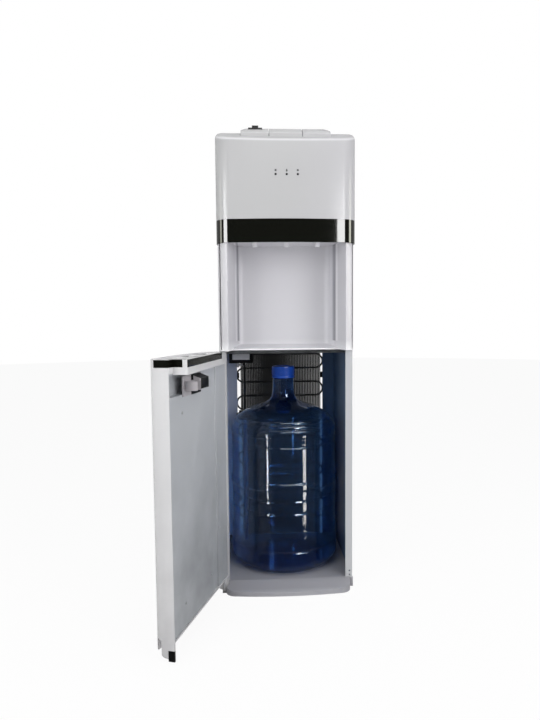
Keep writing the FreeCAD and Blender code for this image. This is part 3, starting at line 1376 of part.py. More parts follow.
def door_outer_shell():
    """Bowed outer shell, open at the back, with a rounded foot and room for the base's lip."""
    low = D.door_floor_gap
    wall = D.door_wall
    back = -D.door_back_gap
    outer = Solid("door_outer")
    outer.pad("XY", low, door_top, bow(door_half, size(0), back))
    outer.fillet(D.door_foot_fillet, lambda edge: (
        edge.BoundBox.ZMax < low.value + 0.1 and edge.BoundBox.YMin < -number(D.front_corner)
    ))
    plan, height = lip_room(size(0))
    outer.pocket("XY", size(0), height, plan)
    inner = Solid("door_inner")
    inner.pad("XY", low + wall, door_top - wall, bow(door_half, wall, -back))
    plan, height = lip_room(wall)
    inner.pocket("XY", size(0), height, plan)
    boss = Solid("door_boss").pad("XY", low, D.base_height + D.lip_top_room, boss_plan(size(0)))
    upper_boss = cylinder("upper_boss", (hinge_x, hinge_y), (door_top - wall * 4, door_top), D.hinge_pin)
    catch = box("catch_room", (door_half - D.lip_side_room - D.door_wall, door_half + wall),
                (back - D.catch_length, D.front_apex), (size(0), low + D.catch_height))
    shell = fuse("door_shell_with_boss", cut("door_hollow", outer.body, inner.body), boss.body)
    bore = hinge_bore(size(0), low + D.lower_pin_length + wall)
    result = cut("door_shell_cut", shell, bore, catch)
    open_on_hinge(result)
    keep(result, "door_outer_shell")


def door_inner_panel():
    """Moulded liner inside the door: handle-side window, channel down the hinge side."""
    back = -D.door_back_gap - D.liner_set_back
    front = back - D.liner_sheet
    low = D.base_height + D.lip_top_room + D.door_wall + D.liner_edge_gap
    high = door_top - D.door_wall - D.liner_edge_gap
    half = door_half - D.door_wall - D.liner_edge_gap
    wall = D.liner_sheet
    window_top = high - D.window_drop
    window_low = window_top - D.window_height
    solid = Solid("liner_body")
    solid.pad("XZ", front, back, rectangle(-half, half, low, high))
    deep = back - D.window_depth
    right = D.window_right
    solid.pad("XZ", deep - wall, front, rectangle(
        -D.window_left - wall, right + wall, window_low - wall, window_top + wall))
    left = -D.groove_centre - D.groove_width / 2
    sunk = back - D.groove_sink
    solid.pad("XZ", sunk - wall, front, rectangle(left - wall, left + D.groove_width + wall, low, high))
    solid.pocket("XZ", deep, back, rectangle(-D.window_left, right, window_low, window_top))
    solid.pocket("XZ", sunk, back, rectangle(left, left + D.groove_width, low, high))
    open_on_hinge(solid.body)
    keep(solid.body, "door_inner_panel")


def door_screws():
    """Screw heads on the liner, at the places the photograph shows."""
    face = -D.door_back_gap - D.liner_set_back
    spots = ((91.3, 460), (91.2, 88), (-104.5, 315), (-98, 173.5), (-44, 88))
    screws = [
        cylinder("door_screw_%d" % k, spot, (face, face + D.door_screw_height), D.door_screw_radius, "Y")
        for k, spot in enumerate(spots, 1)
    ]
    result = group("door_screw_group", *screws)
    open_on_hinge(result)
    keep(result, "door_screws")


def probe_hanger():
    """Black clip in front of the window where the probe hangs while a bottle is changed."""
    high = door_top - D.door_wall - D.liner_edge_gap - D.window_drop
    low = high - D.clip_height
    face = -D.door_back_gap - D.liner_set_back
    plate = face + D.clip_plate
    sill = high - D.window_height
    solid = Solid("hanger_clip_body")
    solid.pad("XZ", face, plate, rectangle(
        D.clip_left, D.clip_right, sill - D.liner_sheet * 2, high - D.liner_sheet * 2))
    top = high - D.liner_sheet * 2
    out = plate + D.clip_block_out
    wedge = [(plate, low), (out, low), (out, top - D.clip_plate * 3), (plate, top)]
    solid.pad("YZ", D.clip_left + D.clip_plate, D.clip_block_right, wedge)
    ring_y = plate + D.clip_ring_radius - D.clip_ring_wall
    ring_top = low + D.clip_ring_height
    solid.pad("XY", low, ring_top, circle(D.clip_ring_x, ring_y, D.clip_ring_radius))
    bore = D.clip_ring_radius - D.clip_ring_wall
    solid.pocket("XY", low, ring_top, circle(D.clip_ring_x, ring_y, bore))
    gate = bore * 0.75
    solid.pocket("XY", low, ring_top, rectangle(
        D.clip_ring_x - gate, D.clip_ring_x + gate, ring_y, ring_y + D.clip_ring_radius * 2))
    open_on_hinge(solid.body)
    keep(solid.body, "probe_hanger")


def door_catch():
    back = -D.door_back_gap
    gap = D.seam
    left = door_half - D.lip_side_room - D.door_wall + gap
    block = Solid("catch_body").pad(
        "XY", D.door_floor_gap, D.door_floor_gap + D.catch_height - gap,
        rectangle(left, door_half, back - D.catch_length + gap, back),
    )
    open_on_hinge(block.body)
    keep(block.body, "door_catch")


# ---------------------------------------------------------------- drip tray

def tray_edge(inset):
    """Inward part of the tray: end face, rounded corner and edge tapering to the hinge side."""
    end = panel_half - D.front_flange - D.tray_side_gap - inset
    back = -D.door_back_gap - inset
    reach = D.tray_reach - inset
    corner = D.tray_corner
    start = hinge_x + D.tray_taper_start + inset * 2
    return [
        (end, back), (end, reach - corner, corner), (end - corner, reach - corner * 0.1), (start, back),
    ]


def tray_well(inset):
    """The tray's well, clear of the hinge; a further inset shrinks it for what sits inside."""
    inward = D.tray_wall + inset
    left = hinge_x + D.tray_hinge_margin + inset
    plan = bow(door_half, inward, -D.door_back_gap - inward)
    start = (left, bow_front_y(left, inward), D.front_bow - inward)
    return [(left, -D.door_back_gap - inward), start] + plan[3:] + tray_edge(inward)[:3] + [
        (left + D.tray_corner, -D.door_back_gap - inward + D.tray_corner / 2)]


def tray_housing():
    """Housing on the door's top edge with a well for the drip tray and a seat for the trim."""
    solid = Solid("tray_housing_body")
    solid.pad("XY", door_top, tray_top, bow(door_half, size(0), -D.door_back_gap))
    inward = tray_edge(size(0))
    solid.pad("XY", door_top - D.tray_skirt, tray_top, [
        (inward[0][0], -D.door_back_gap), inward[1], inward[2], inward[3],
    ])
    solid.pocket("XY", door_top + D.tray_floor, tray_top, tray_well(size(0)))
    trim = trim_outline()
    solid.pocket("XY", tray_top - D.trim_height, tray_top, trim)
    result = cut("tray_housing_cut", solid.body, hinge_bore(door_top - D.tray_skirt, tray_top))
    open_on_hinge(result)
    keep(result, "tray_housing")


def trim_outline():
    """Strip along the free end, round the step and along the tapering inner edge."""
    thick = D.trim_thickness
    back = -D.door_back_gap
    free = door_half
    outer = tray_edge(size(0))
    inner = tray_edge(thick)
    start = outer[3][0] + D.tray_taper_start
    slope = (outer[2][1] - back) / (outer[2][0] - outer[3][0])
    start_y = back + slope * D.tray_taper_start
    return [
        (free, -D.trim_front), (free, back), (outer[0][0], back), outer[1], outer[2],
        (start, start_y), (start, start_y - thick),
        (inner[2][0], outer[2][1] - thick, thick - D.tray_corner), inner[1][:2],
        (inner[0][0], back - thick), (free - thick, back - thick), (free - thick, -D.trim_front),
    ]


def door_band():
    solid = Solid("trim_body").pad("XY", tray_top - D.trim_height, tray_top, trim_outline())
    open_on_hinge(solid.body)
    keep(solid.body, "door_band")


def drip_tray():
    """Pan that lifts out of the well."""
    low = door_top + D.tray_floor + D.seam
    high = tray_top - D.pan_rim_drop
    solid = Solid("pan_body")
    solid.pad("XY", low, high, tray_well(D.tray_play))
    solid.pocket("XY", low + D.pan_floor, high, tray_well(D.tray_play + D.pan_wall))
    open_on_hinge(solid.body)
    keep(solid.body, "drip_tray")
    top = high - D.grille_drop + D.pan_rim_drop
    grille = Solid("grille_body")
    rim = D.tray_play + D.pan_wall + D.tray_play / 2
    grille.pad("XY", top - D.grille_thickness, top, tray_well(rim))
    legs = [circle(D.tap_pitch * k, -D.oval_y - D.oval_radius * 1.6, D.pan_wall) for k in (-1, 0, 1)]
    grille.pad("XY", low + D.pan_floor, top - D.grille_thickness, *legs)
    ovals = []
    slots = []
    for k in (-1, 0, 1):
        x = D.tap_pitch * k
        y = -D.oval_y
        ovals.append([
            (x - D.oval_half + D.oval_radius, y - D.oval_radius),
            (x + D.oval_half - D.oval_radius, y - D.oval_radius, D.oval_radius * 1.02),
            (x + D.oval_half - D.oval_radius, y + D.oval_radius),
            (x - D.oval_half + D.oval_radius, y + D.oval_radius, D.oval_radius * 1.02),
        ])
        for j in (-1, 0, 1):
            middle = y + D.drain_slot_pitch * j
            half = D.drain_slot_half - D.drain_slot_pitch * 0.4 * abs(j)
            slots.append(rectangle(
                x - half, x + half, middle - D.drain_slot_width / 2, middle + D.drain_slot_width / 2))
    grille.pocket("XY", top - D.oval_depth, top, *ovals)
    grille.pocket("XY", top - D.grille_thickness, top - D.oval_depth, *slots)
    open_on_hinge(grille.body)
    keep(grille.body, "drip_grille")


build_order = (
    base_tray, anti_slip_pads, side_panels, compressor_shelf, tank_shelf, recess_liner, head_cover,
    head_band, top_cover, indicator_lenses, control_board, buttons, child_lock, taps, tanks,
    tap_hoses, condenser, compressor, cooling_lines, pump, pump_hoses, bottle, rear_upper_panel,
    rear_fittings, hinge_brackets, door_outer_shell, door_inner_panel, door_screws, probe_hanger,
    door_catch, tray_housing, door_band, drip_tray,
)
for build in build_order:
    build()
doc.recompute()

faults = []
for thing in doc.Objects:
    if "Invalid" in thing.State or "Error" in thing.State:
        faults.append("%s is %s" % (thing.Label, thing.State))
for piece in nodes:
    if piece.Shape.isNull() or not piece.Shape.isValid():
        faults.append("%s has no sound shape" % piece.Label)
if faults:
    raise RuntimeError("; ".join(faults))
for piece in nodes:
    piece.Shape.exportStep("parts/%s.step" % piece.Label)
    bounds = piece.Shape.BoundBox
    print("%-22s %d solids  X %.1f..%.1f  Y %.1f..%.1f  Z %.1f..%.1f" % (
        piece.Label, len(piece.Shape.Solids), bounds.XMin, bounds.XMax, bounds.YMin, bounds.YMax,
        bounds.ZMin, bounds.ZMax))
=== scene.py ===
import json
import math

import bmesh
import bpy
from mathutils import Matrix, Vector

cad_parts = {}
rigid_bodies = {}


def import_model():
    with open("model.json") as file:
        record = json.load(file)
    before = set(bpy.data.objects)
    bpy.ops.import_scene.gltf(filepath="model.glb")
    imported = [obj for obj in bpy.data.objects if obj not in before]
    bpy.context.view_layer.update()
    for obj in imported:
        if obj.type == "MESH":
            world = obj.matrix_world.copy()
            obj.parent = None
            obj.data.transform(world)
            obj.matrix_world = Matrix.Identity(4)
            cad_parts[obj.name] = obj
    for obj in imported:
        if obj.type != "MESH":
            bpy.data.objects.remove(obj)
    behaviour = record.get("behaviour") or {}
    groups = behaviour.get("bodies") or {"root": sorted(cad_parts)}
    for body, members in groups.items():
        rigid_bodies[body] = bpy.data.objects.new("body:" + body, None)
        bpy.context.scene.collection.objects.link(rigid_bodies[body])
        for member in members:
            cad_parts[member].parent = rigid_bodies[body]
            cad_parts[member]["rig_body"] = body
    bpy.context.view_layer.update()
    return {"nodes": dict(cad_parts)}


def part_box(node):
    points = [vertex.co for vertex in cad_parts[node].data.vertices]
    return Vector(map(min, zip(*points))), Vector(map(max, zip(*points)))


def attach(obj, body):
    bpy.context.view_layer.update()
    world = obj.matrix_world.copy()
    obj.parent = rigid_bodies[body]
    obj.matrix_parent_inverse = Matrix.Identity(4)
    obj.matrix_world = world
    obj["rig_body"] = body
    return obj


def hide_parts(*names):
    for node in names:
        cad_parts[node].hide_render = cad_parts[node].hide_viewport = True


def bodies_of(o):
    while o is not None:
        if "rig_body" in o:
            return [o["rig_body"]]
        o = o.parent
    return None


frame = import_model()
NODES = frame["nodes"]
MM = 0.001
MERGED = 1e-6  # points closer than this are one


# ------------------------------------------------------------------ node helpers

def added(tree, kind, **properties):
    """A new shader node with its properties set."""
    node = tree.nodes.new("ShaderNode" + kind)
    for name, value in properties.items():
        setattr(node, name, value)
    return node


def feed(tree, socket, given):
    """Gives a socket a plain value or another node's output."""
    if isinstance(given, bpy.types.NodeSocket):
        tree.links.new(given, socket)
    else:
        socket.default_value = given


def calculated(tree, operation, *inputs):
    """The result of a Math node."""
    node = added(tree, "Math", operation=operation)
    for socket, given in zip(node.inputs, inputs):
        feed(tree, socket, given)
    return node.outputs[0]


def ranged(tree, value, start, end, low, high):
    """A value between start and end, taken to between low and high and held there."""
    node = added(tree, "MapRange")
    limits = {"From Min": start, "From Max": end, "To Min": low, "To Max": high}
    for socket, given in limits.items():
        feed(tree, node.inputs[socket], given)
    feed(tree, node.inputs["Value"], value)
    return node.outputs["Result"]


def blended(tree, factor, one, other):
    """One number at a factor of 0, the other at 1."""
    node = added(tree, "Mix")
    for socket, given in (("Factor", factor), ("A", one), ("B", other)):
        feed(tree, node.inputs[socket], given)
    return node.outputs["Result"]


# ------------------------------------------------------------------ studio

# The photograph's view, from a perspective fit of the cabinet's edges.
PHOTO_TALL_PIXELS = 720
FOCAL_PIXELS = 590.3
SHIFT_RIGHT_PIXELS, SHIFT_UP_PIXELS = -12.0, 8.7
SENSOR = 36.0
EYE = (-0.0854, -1.3539, 0.6296)
YAW, PITCH, ROLL = math.radians(3.17), math.radians(4.52), math.radians(-0.45)

# Upright lines that the panels of light stand around.
CABINET = (0.0, -0.04)
WATER = (0.0, 0.14)
DOOR_SIDE = (-0.047, 0.014)

HEAD_HEIGHTS = (0.85, 1.27)
SIDE_HEIGHTS = (0.70, 1.30)
FILL_HEIGHTS = (0.30, 1.30)
WHITE, PINKISH, YELLOWISH = (1.0, 1.0, 1.0), (1.0, 0.99, 1.0), (1.0, 1.0, 0.86)

ROOM_LIGHT = 0.42        # the room's strength where it lights a surface
SEEN_THROUGH = 0.25      # its strength seen through the bottle's wall, and the floor's
FLOOR_GLOW_SHARE = 0.93  # the rest of the floor is matte and takes the shadow


def camera():
    """Looks along the photograph's direction, with its shift of the frame."""
    ahead = Vector((math.sin(YAW) * math.cos(PITCH), math.cos(YAW) * math.cos(PITCH), -math.sin(PITCH)))
    right = ahead.cross(Vector((0, 0, 1))).normalized()
    up = right.cross(ahead)
    rolled_right = right * math.cos(ROLL) + up * math.sin(ROLL)
    rolled_up = up * math.cos(ROLL) - right * math.sin(ROLL)
    lens = bpy.data.cameras.new("photo_view")
    lens.sensor_width = SENSOR
    lens.lens = FOCAL_PIXELS / PHOTO_TALL_PIXELS * SENSOR
    lens.shift_x = SHIFT_RIGHT_PIXELS / PHOTO_TALL_PIXELS
    lens.shift_y = SHIFT_UP_PIXELS / PHOTO_TALL_PIXELS
    eye = bpy.data.objects.new("photo_view", lens)
    turn = Matrix((rolled_right, rolled_up, -ahead)).transposed().to_4x4()
    eye.matrix_world = Matrix.Translation(EYE) @ turn
    bpy.context.scene.collection.objects.link(eye)
    bpy.context.scene.camera = eye


def area_lamp(name, width, tall, radiance, place, tint=WHITE):
    """Rectangular lamp that gives the same radiance at any size."""
    panel = bpy.data.lights.new(name, "AREA")
    panel.shape = "RECTANGLE"
    panel.size = width
    panel.size_y = tall
    panel.color = tint
    panel.energy = radiance * math.pi * width * tall
    lamp = bpy.data.objects.new(name, panel)
    lamp.matrix_world = place
    bpy.context.scene.collection.objects.link(lamp)
    return lamp


def softbox(name, aim, azimuth, distance, width, heights, radiance, lights_surfaces, tint=WHITE):
    """Upright lit panel, turned right of straight ahead about the aim line.

    A panel either lights surfaces softly or is seen in the glossy ones, never both."""
    low, high = heights
    turn = math.radians(azimuth)
    across, back = math.sin(turn) * distance, math.cos(turn) * distance
    place = Vector((aim[0] + across, aim[1] - back, (low + high) / 2))
    toward = Vector((aim[0] - place.x, aim[1] - place.y, 0)).normalized()
    side = Vector((-toward.y, toward.x, 0))
    facing = Matrix((-side, Vector((0, 0, 1)), -toward)).transposed().to_4x4()
    lamp = area_lamp(name, width, high - low, radiance, Matrix.Translation(place) @ facing, tint)
    lamp.visible_camera = False
    lamp.visible_diffuse = lights_surfaces
    lamp.visible_glossy = not lights_surfaces


def soft_light(name, azimuth, distance, width, heights, radiance, tint=WHITE):
    """A panel that lights the cabinet's surfaces."""
    softbox(name, CABINET, azimuth, distance, width, heights, radiance, True, tint)


def reflection(name, aim, azimuth, distance, width, heights, radiance, tint=WHITE):
    """A panel that is seen only in glossy surfaces."""
    softbox(name, aim, azimuth, distance, width, heights, radiance, False, tint)


def lights():
    """Wide panels for the surfaces, narrow ones for the streaks in the photograph's gloss."""
    soft_light("key_right", 39, distance=1.6, width=0.90, heights=(0.55, 1.42), radiance=4.5, tint=PINKISH)
    soft_light("key_left", -40, distance=1.6, width=0.74, heights=(0.50, 1.42), radiance=4.5)
    reflection("streak_right", CABINET, 32.5, distance=1.6, width=0.42, heights=HEAD_HEIGHTS, radiance=20)
    reflection("streak_left", CABINET, -54, distance=1.6, width=0.70, heights=HEAD_HEIGHTS, radiance=20)
    reflection(
        "olive_right", CABINET, 82, distance=1.6, width=0.50,
        heights=SIDE_HEIGHTS, radiance=10, tint=YELLOWISH,
    )
    reflection(
        "olive_left", CABINET, -90, distance=1.6, width=0.40,
        heights=SIDE_HEIGHTS, radiance=5.5, tint=YELLOWISH,
    )
    reflection(
        "bottle_streak_right", WATER, 40.5, distance=1.6, width=0.19,
        heights=(-0.37, 0.03), radiance=17,
    )
    reflection(
        "door_side_streak", DOOR_SIDE, -39.2, distance=0.15, width=0.011,
        heights=(0.165, 0.370), radiance=15,
    )
    soft_light("fill_right", 84, distance=1.8, width=0.6, heights=FILL_HEIGHTS, radiance=1.6)
    soft_light("fill_left", -84, distance=1.8, width=0.6, heights=FILL_HEIGHTS, radiance=1.0)
    reflection("rib_glow", WATER, 20, distance=1.7, width=2.1, heights=(1.45, 2.10), radiance=3.4)
    above_front = Matrix.Translation((0, -0.35, 2.3)) @ Matrix.Rotation(math.radians(12), 4, "X")
    area_lamp("overhead", width=1.6, tall=1.2, radiance=2.2, place=above_front)


def world():
    """Pale room: white to the camera, dimmer where it lights or is seen through the bottle.

    Glossy surfaces see it dark in front and paler behind."""
    room = bpy.data.worlds.new("studio")
    bpy.context.scene.world = room
    room.use_nodes = True
    tree = room.node_tree
    tree.nodes.clear()
    rays = added(tree, "LightPath").outputs
    through = calculated(tree, "MULTIPLY", rays["Is Transmission Ray"], SEEN_THROUGH)
    seen = calculated(tree, "MAXIMUM", rays["Is Camera Ray"], through)
    split = added(tree, "SeparateXYZ")
    tree.links.new(added(tree, "TexCoord").outputs["Generated"], split.inputs[0])
    behind = ranged(tree, split.outputs["Y"], start=-0.35, end=0.25, low=0.05, high=0.5)
    unseen = blended(tree, rays["Is Glossy Ray"], ROOM_LIGHT, behind)
    sky = added(tree, "Background")
    feed(tree, sky.inputs["Color"], WHITE + (1.0,))
    feed(tree, sky.inputs["Strength"], blended(tree, seen, unseen, 1.0))
    tree.links.new(sky.outputs[0], added(tree, "OutputWorld").inputs["Surface"])


def studio_paper():
    """Matte paper that mostly glows white where the camera sees it."""
    paper = bpy.data.materials.new("studio_paper")
    paper.use_nodes = True
    tree = paper.node_tree
    tree.nodes.clear()
    rays = added(tree, "LightPath").outputs
    seen = calculated(tree, "MAXIMUM", rays["Is Camera Ray"], rays["Is Transmission Ray"])
    matte = added(tree, "BsdfDiffuse")
    feed(tree, matte.inputs["Color"], (0.86, 0.86, 0.86, 1.0))
    glow = added(tree, "Emission")
    dimmed = ranged(tree, rays["Is Transmission Ray"], start=0.0, end=1.0, low=1.0, high=SEEN_THROUGH)
    feed(tree, glow.inputs["Strength"], dimmed)
    mix = added(tree, "MixShader")
    feed(tree, mix.inputs[0], calculated(tree, "MULTIPLY", seen, FLOOR_GLOW_SHARE))
    tree.links.new(matte.outputs[0], mix.inputs[1])
    tree.links.new(glow.outputs[0], mix.inputs[2])
    tree.links.new(mix.outputs[0], added(tree, "OutputMaterial").inputs["Surface"])
    return paper


def studio_floor():
    """Round pale floor that keeps a soft contact shadow."""
    shape = bmesh.new()
    bmesh.ops.create_circle(shape, cap_ends=True, segments=96, radius=9.0)
    mesh = bpy.data.meshes.new("studio_floor")
    shape.to_mesh(mesh)
    shape.free()
    mesh.materials.append(studio_paper())
    ground = bpy.data.objects.new("studio_floor", mesh)
    bpy.context.scene.collection.objects.link(ground)
    ground.visible_glossy = False


# ------------------------------------------------------------------ what a finish can do

class Finish:
    """A node material on one Principled shader, with patterns read in object space."""

    def __init__(self, name, colour, roughness, **sockets):
        self.material = bpy.data.materials.new(name)
        self.material.use_nodes = True
        self.tree = self.material.node_tree
        self.shader = self.tree.nodes["Principled BSDF"]
        self.colour = tuple(colour) + (1.0,)
        self.tint = self.colour
        self.relief = None
        self.place = added(self.tree, "TexCoord").outputs["Object"]
        self.set("Base Color", self.colour)
        self.set("Roughness", roughness)
        for socket, value in sockets.items():
            self.set(socket.replace("_", " "), value)

    def set(self, socket, given):
        feed(self.tree, self.shader.inputs[socket], given)

    def stretched(self, scale):
        """Object coordinates stretched along an axis, for drawn surfaces, or flattened."""
        mapping = added(self.tree, "Mapping")
        feed(self.tree, mapping.inputs["Scale"], scale)
        feed(self.tree, mapping.inputs["Vector"], self.place)
        return mapping.outputs[0]

    def noise(self, scale, detail=3.0, place=None):
        node = added(self.tree, "TexNoise")
        feed(self.tree, node.inputs["Scale"], scale)
        feed(self.tree, node.inputs["Detail"], detail)
        feed(self.tree, node.inputs["Vector"], place or self.place)
        return node.outputs["Fac"]

    def ranged(self, value, low, high, start=0.3, end=0.7):
        """A value taken to between low and high; start and end are the middle of a noise."""
        return ranged(self.tree, value, start, end, low, high)

    def along(self, axis):
        split = added(self.tree, "SeparateXYZ")
        self.tree.links.new(self.place, split.inputs[0])
        return split.outputs[axis]

    def past(self, axis, start, end, share):
        """0 before a place along an axis, rising to a share at a second one."""
        return self.ranged(self.along(axis), 0.0, share, start=start, end=end)

    def before(self, axis, start, end, share):
        """A share before a place along an axis, falling to 0 at a second one."""
        return self.ranged(self.along(axis), share, 0.0, start=start, end=end)

    def within(self, axis, low, high):
        """1 between two places along an axis, 0 elsewhere."""
        return calculated(self.tree, "COMPARE", self.along(axis), (low + high) / 2, (high - low) / 2)

    def both(self, one, other):
        return calculated(self.tree, "MULTIPLY", one, other)

    def facing_up(self):
        """The surface's lean, from 0 upright to 1 level."""
        split = added(self.tree, "SeparateXYZ")
        self.tree.links.new(added(self.tree, "TexCoord").outputs["Normal"], split.inputs[0])
        return split.outputs["Z"]

    def peak(self, value, place, spread):
        """1 where a value is at a place, falling to 0 on either side."""
        away = calculated(self.tree, "SUBTRACT", value, place)
        return self.ranged(calculated(self.tree, "ABSOLUTE", away), 1.0, 0.0, start=0.0, end=spread)

    def disc(self, x, y, radius):
        """1 inside a round place seen from above, with a soft rim."""
        gap = added(self.tree, "VectorMath", operation="DISTANCE")
        feed(self.tree, gap.inputs[0], self.stretched((1.0, 1.0, 0.0)))
        feed(self.tree, gap.inputs[1], (x, y, 0.0))
        return self.ranged(gap.outputs["Value"], 1.0, 0.0, start=radius * 0.85, end=radius)

    def paint(self, factor, colour):
        """Mixes another colour in by a factor, over what is there."""
        mix = added(self.tree, "Mix", data_type="RGBA")
        for socket, given in (("Factor", factor), ("A", self.tint), ("B", tuple(colour) + (1.0,))):
            feed(self.tree, mix.inputs[socket], given)
        self.tint = mix.outputs["Result"]
        self.set("Base Color", self.tint)

    def mottled(self, scale, amount, shade=0.8):
        """Faint cloudy change of tone, as dust and handling leave."""
        darker = [channel * shade for channel in self.colour[:3]]
        self.paint(self.ranged(self.noise(scale), 0.0, amount), darker)

    def polished_unevenly(self, scale, low, high, place=None):
        """Roughness that wanders between two values."""
        self.set("Roughness", self.ranged(self.noise(scale, detail=4.0, place=place), low, high))

    def grained(self, scale, strength, depth=0.2 * MM, detail=4.0, place=None):
        """Fine relief; a second call adds to the first."""
        bump = added(self.tree, "Bump")
        feed(self.tree, bump.inputs["Strength"], strength)
        feed(self.tree, bump.inputs["Distance"], depth)
        feed(self.tree, bump.inputs["Height"], self.noise(scale, detail, place))
        if self.relief is not None:
            feed(self.tree, bump.inputs["Normal"], self.relief)
        self.relief = bump.outputs[0]
        self.set("Normal", self.relief)

    def shaded_low(self, top, bottom, colour, amount):
        """Painted shade that deepens downwards between two heights, broken up by a noise cloud."""
        fade = self.before("Z", bottom, top, amount)
        cloud = self.ranged(self.noise(scale=9.0, detail=5.0), 0.3, 1.0)
        self.paint(self.both(fade, cloud), colour)


# ------------------------------------------------------------------ white plastics and paint

BRIGHT_WHITE = (0.68, 0.68, 0.69)
WARM_WHITE = (0.685, 0.68, 0.712)


def door_white():
    """Glossy white of the door's shell and the tray housing, with painted shade deepening towards the
    floor.
    """
    finish = Finish("white_abs_gloss", BRIGHT_WHITE, 0.24, Specular_IOR_Level=0.5)
    finish.mottled(scale=3.0, amount=0.10, shade=0.88)
    finish.polished_unevenly(scale=6.0, low=0.17, high=0.27)
    finish.grained(scale=420.0, strength=0.10, depth=0.1 * MM)
    finish.grained(scale=18.0, strength=0.035, depth=2 * MM, detail=1.0)
    # painted shade: darker towards the floor
    finish.shaded_low(top=0.45, bottom=0.0, colour=(0.40, 0.39, 0.40), amount=0.75)
    return finish.material


def head_white():
    """White of the head, set darker than the door's white as painted shade, with painted light towards its
    right side and a painted highlight where its top edges round over.
    """
    # painted shade: the head's white is darker than the door's white
    finish = Finish("white_abs_head", (0.484, 0.486, 0.492), 0.18, Specular_IOR_Level=0.16)
    finish.mottled(scale=3.0, amount=0.08, shade=0.9)
    finish.polished_unevenly(scale=6.0, low=0.13, high=0.20)
    finish.grained(scale=420.0, strength=0.08, depth=0.1 * MM)
    # painted light: paler and lilac towards the right side
    finish.paint(finish.past("X", 0.0, 0.15, share=0.5), (0.50, 0.495, 0.525))
    # painted highlight where the top edges lean up
    finish.paint(finish.peak(finish.facing_up(), place=0.38, spread=0.34), (0.67, 0.67, 0.69))
    return finish.material


def satin(name, roughness, **sockets):
    """Warm satin white that the small mouldings share with the recess."""
    finish = Finish(name, WARM_WHITE, roughness, **sockets)
    finish.mottled(scale=4.0, amount=0.10, shade=0.9)
    finish.polished_unevenly(scale=8.0, low=0.32, high=0.44)
    finish.grained(scale=520.0, strength=0.10, depth=0.1 * MM)
    return finish


def satin_white():
    """White of the small inner mouldings."""
    return satin("white_abs_satin", 0.36).material


def recess_white():
    """White of the recess with painted light and shade: darker at the top under the head, darker columns, a
    dark shade line in each crease with a highlight beside it, and a bright lip.
    """
    left_crease, right_crease = -0.1105, 0.1172
    left_gleam, right_gleam = -0.1155, 0.1203
    finish = satin("white_abs_satin_tub", 0.4, Specular_IOR_Level=0.3)
    # painted shade under the head: the lower part is paler
    finish.paint(finish.before("Z", 0.60, 0.72, share=0.5), (0.80, 0.80, 0.83))
    # painted shade on the columns, deeper on the left than on the right
    finish.paint(finish.within("X", -0.2, left_crease), (0.585, 0.580, 0.610))
    finish.paint(finish.within("X", right_crease, 0.2), (0.635, 0.630, 0.660))
    # painted light on the lip
    finish.paint(finish.before("Z", 0.568, 0.588, share=0.9), (0.88, 0.88, 0.90))
    above_lip = finish.within("Z", 0.585, 0.812)
    # painted shade in each crease and a painted highlight beside it
    for crease, gleam in ((left_crease, left_gleam), (right_crease, right_gleam)):
        crease_shade = finish.peak(finish.along("X"), crease, spread=2.8 * MM)
        in_gleam = finish.peak(finish.along("X"), gleam, spread=1.5 * MM)
        finish.paint(finish.both(crease_shade, above_lip), (0.22, 0.22, 0.25))
        finish.paint(finish.both(in_gleam, above_lip), (0.86, 0.86, 0.88))
    return finish.material


def side_paint():
    """Powder coat of the side panels, set darker than the door's white as painted shade; blue back-coat on
    their inner faces around the bottle, darkened by painted shade and painted paler on the left as light.
    """
    # painted shade: the white coat is darker than the door's white
    finish = Finish("white_powder_coat", (0.52, 0.53, 0.55), 0.42)
    finish.mottled(scale=2.5, amount=0.12, shade=0.9)
    compartment = finish.both(finish.within("X", -0.153, 0.153), finish.within("Y", 0.0006, 0.2994))
    compartment = finish.both(compartment, finish.within("Z", -0.1, 0.566))
    painted_lit_left = finish.within("X", -0.2, 0.0)
    # inner faces: a blue back-coat, partly painted shade in its darkness
    finish.paint(compartment, (0.075, 0.150, 0.270))
    # painted light: the left inner wall paler than the right
    finish.paint(finish.both(compartment, painted_lit_left), (0.72, 0.78, 0.92))
    finish.polished_unevenly(scale=10.0, low=0.38, high=0.5)
    finish.grained(scale=900.0, strength=0.22, depth=0.15 * MM)
    return finish.material


def grille_white():
    """White of the grille on the door's top, with three round grey spots of painted shade where dimples
    would lie.
    """
    dimple_shade_spots = ((-0.2186, -0.255), (-0.2028, -0.165), (-0.1879, -0.080))
    finish = Finish("white_grille_dimple_shade", BRIGHT_WHITE, 0.2)
    # painted shade: a grey spot for each dimple
    for x, y in dimple_shade_spots:
        finish.paint(finish.disc(x, y, 19 * MM), (0.22, 0.22, 0.23))
    finish.grained(scale=420.0, strength=0.1, depth=0.1 * MM)
    return finish.material


# ------------------------------------------------------------------ grey and black plastics

BLACK = (0.005, 0.005, 0.0055)


def base_shaded_white():
    """White plastic of the base, painted grey as shade, with painted light on its front lip."""
    # painted shade: the base's white plastic set grey
    finish = Finish("base_plastic_painted_shade", (0.33, 0.33, 0.358), 0.46)
    finish.mottled(scale=7.0, amount=0.25)
    finish.polished_unevenly(scale=12.0, low=0.4, high=0.58)
    finish.grained(scale=700.0, strength=0.3, depth=0.25 * MM)
    # painted light on the front lip
    finish.paint(finish.before("Y", -0.043, -0.030, share=0.75), (0.44, 0.44, 0.47))
    return finish.material


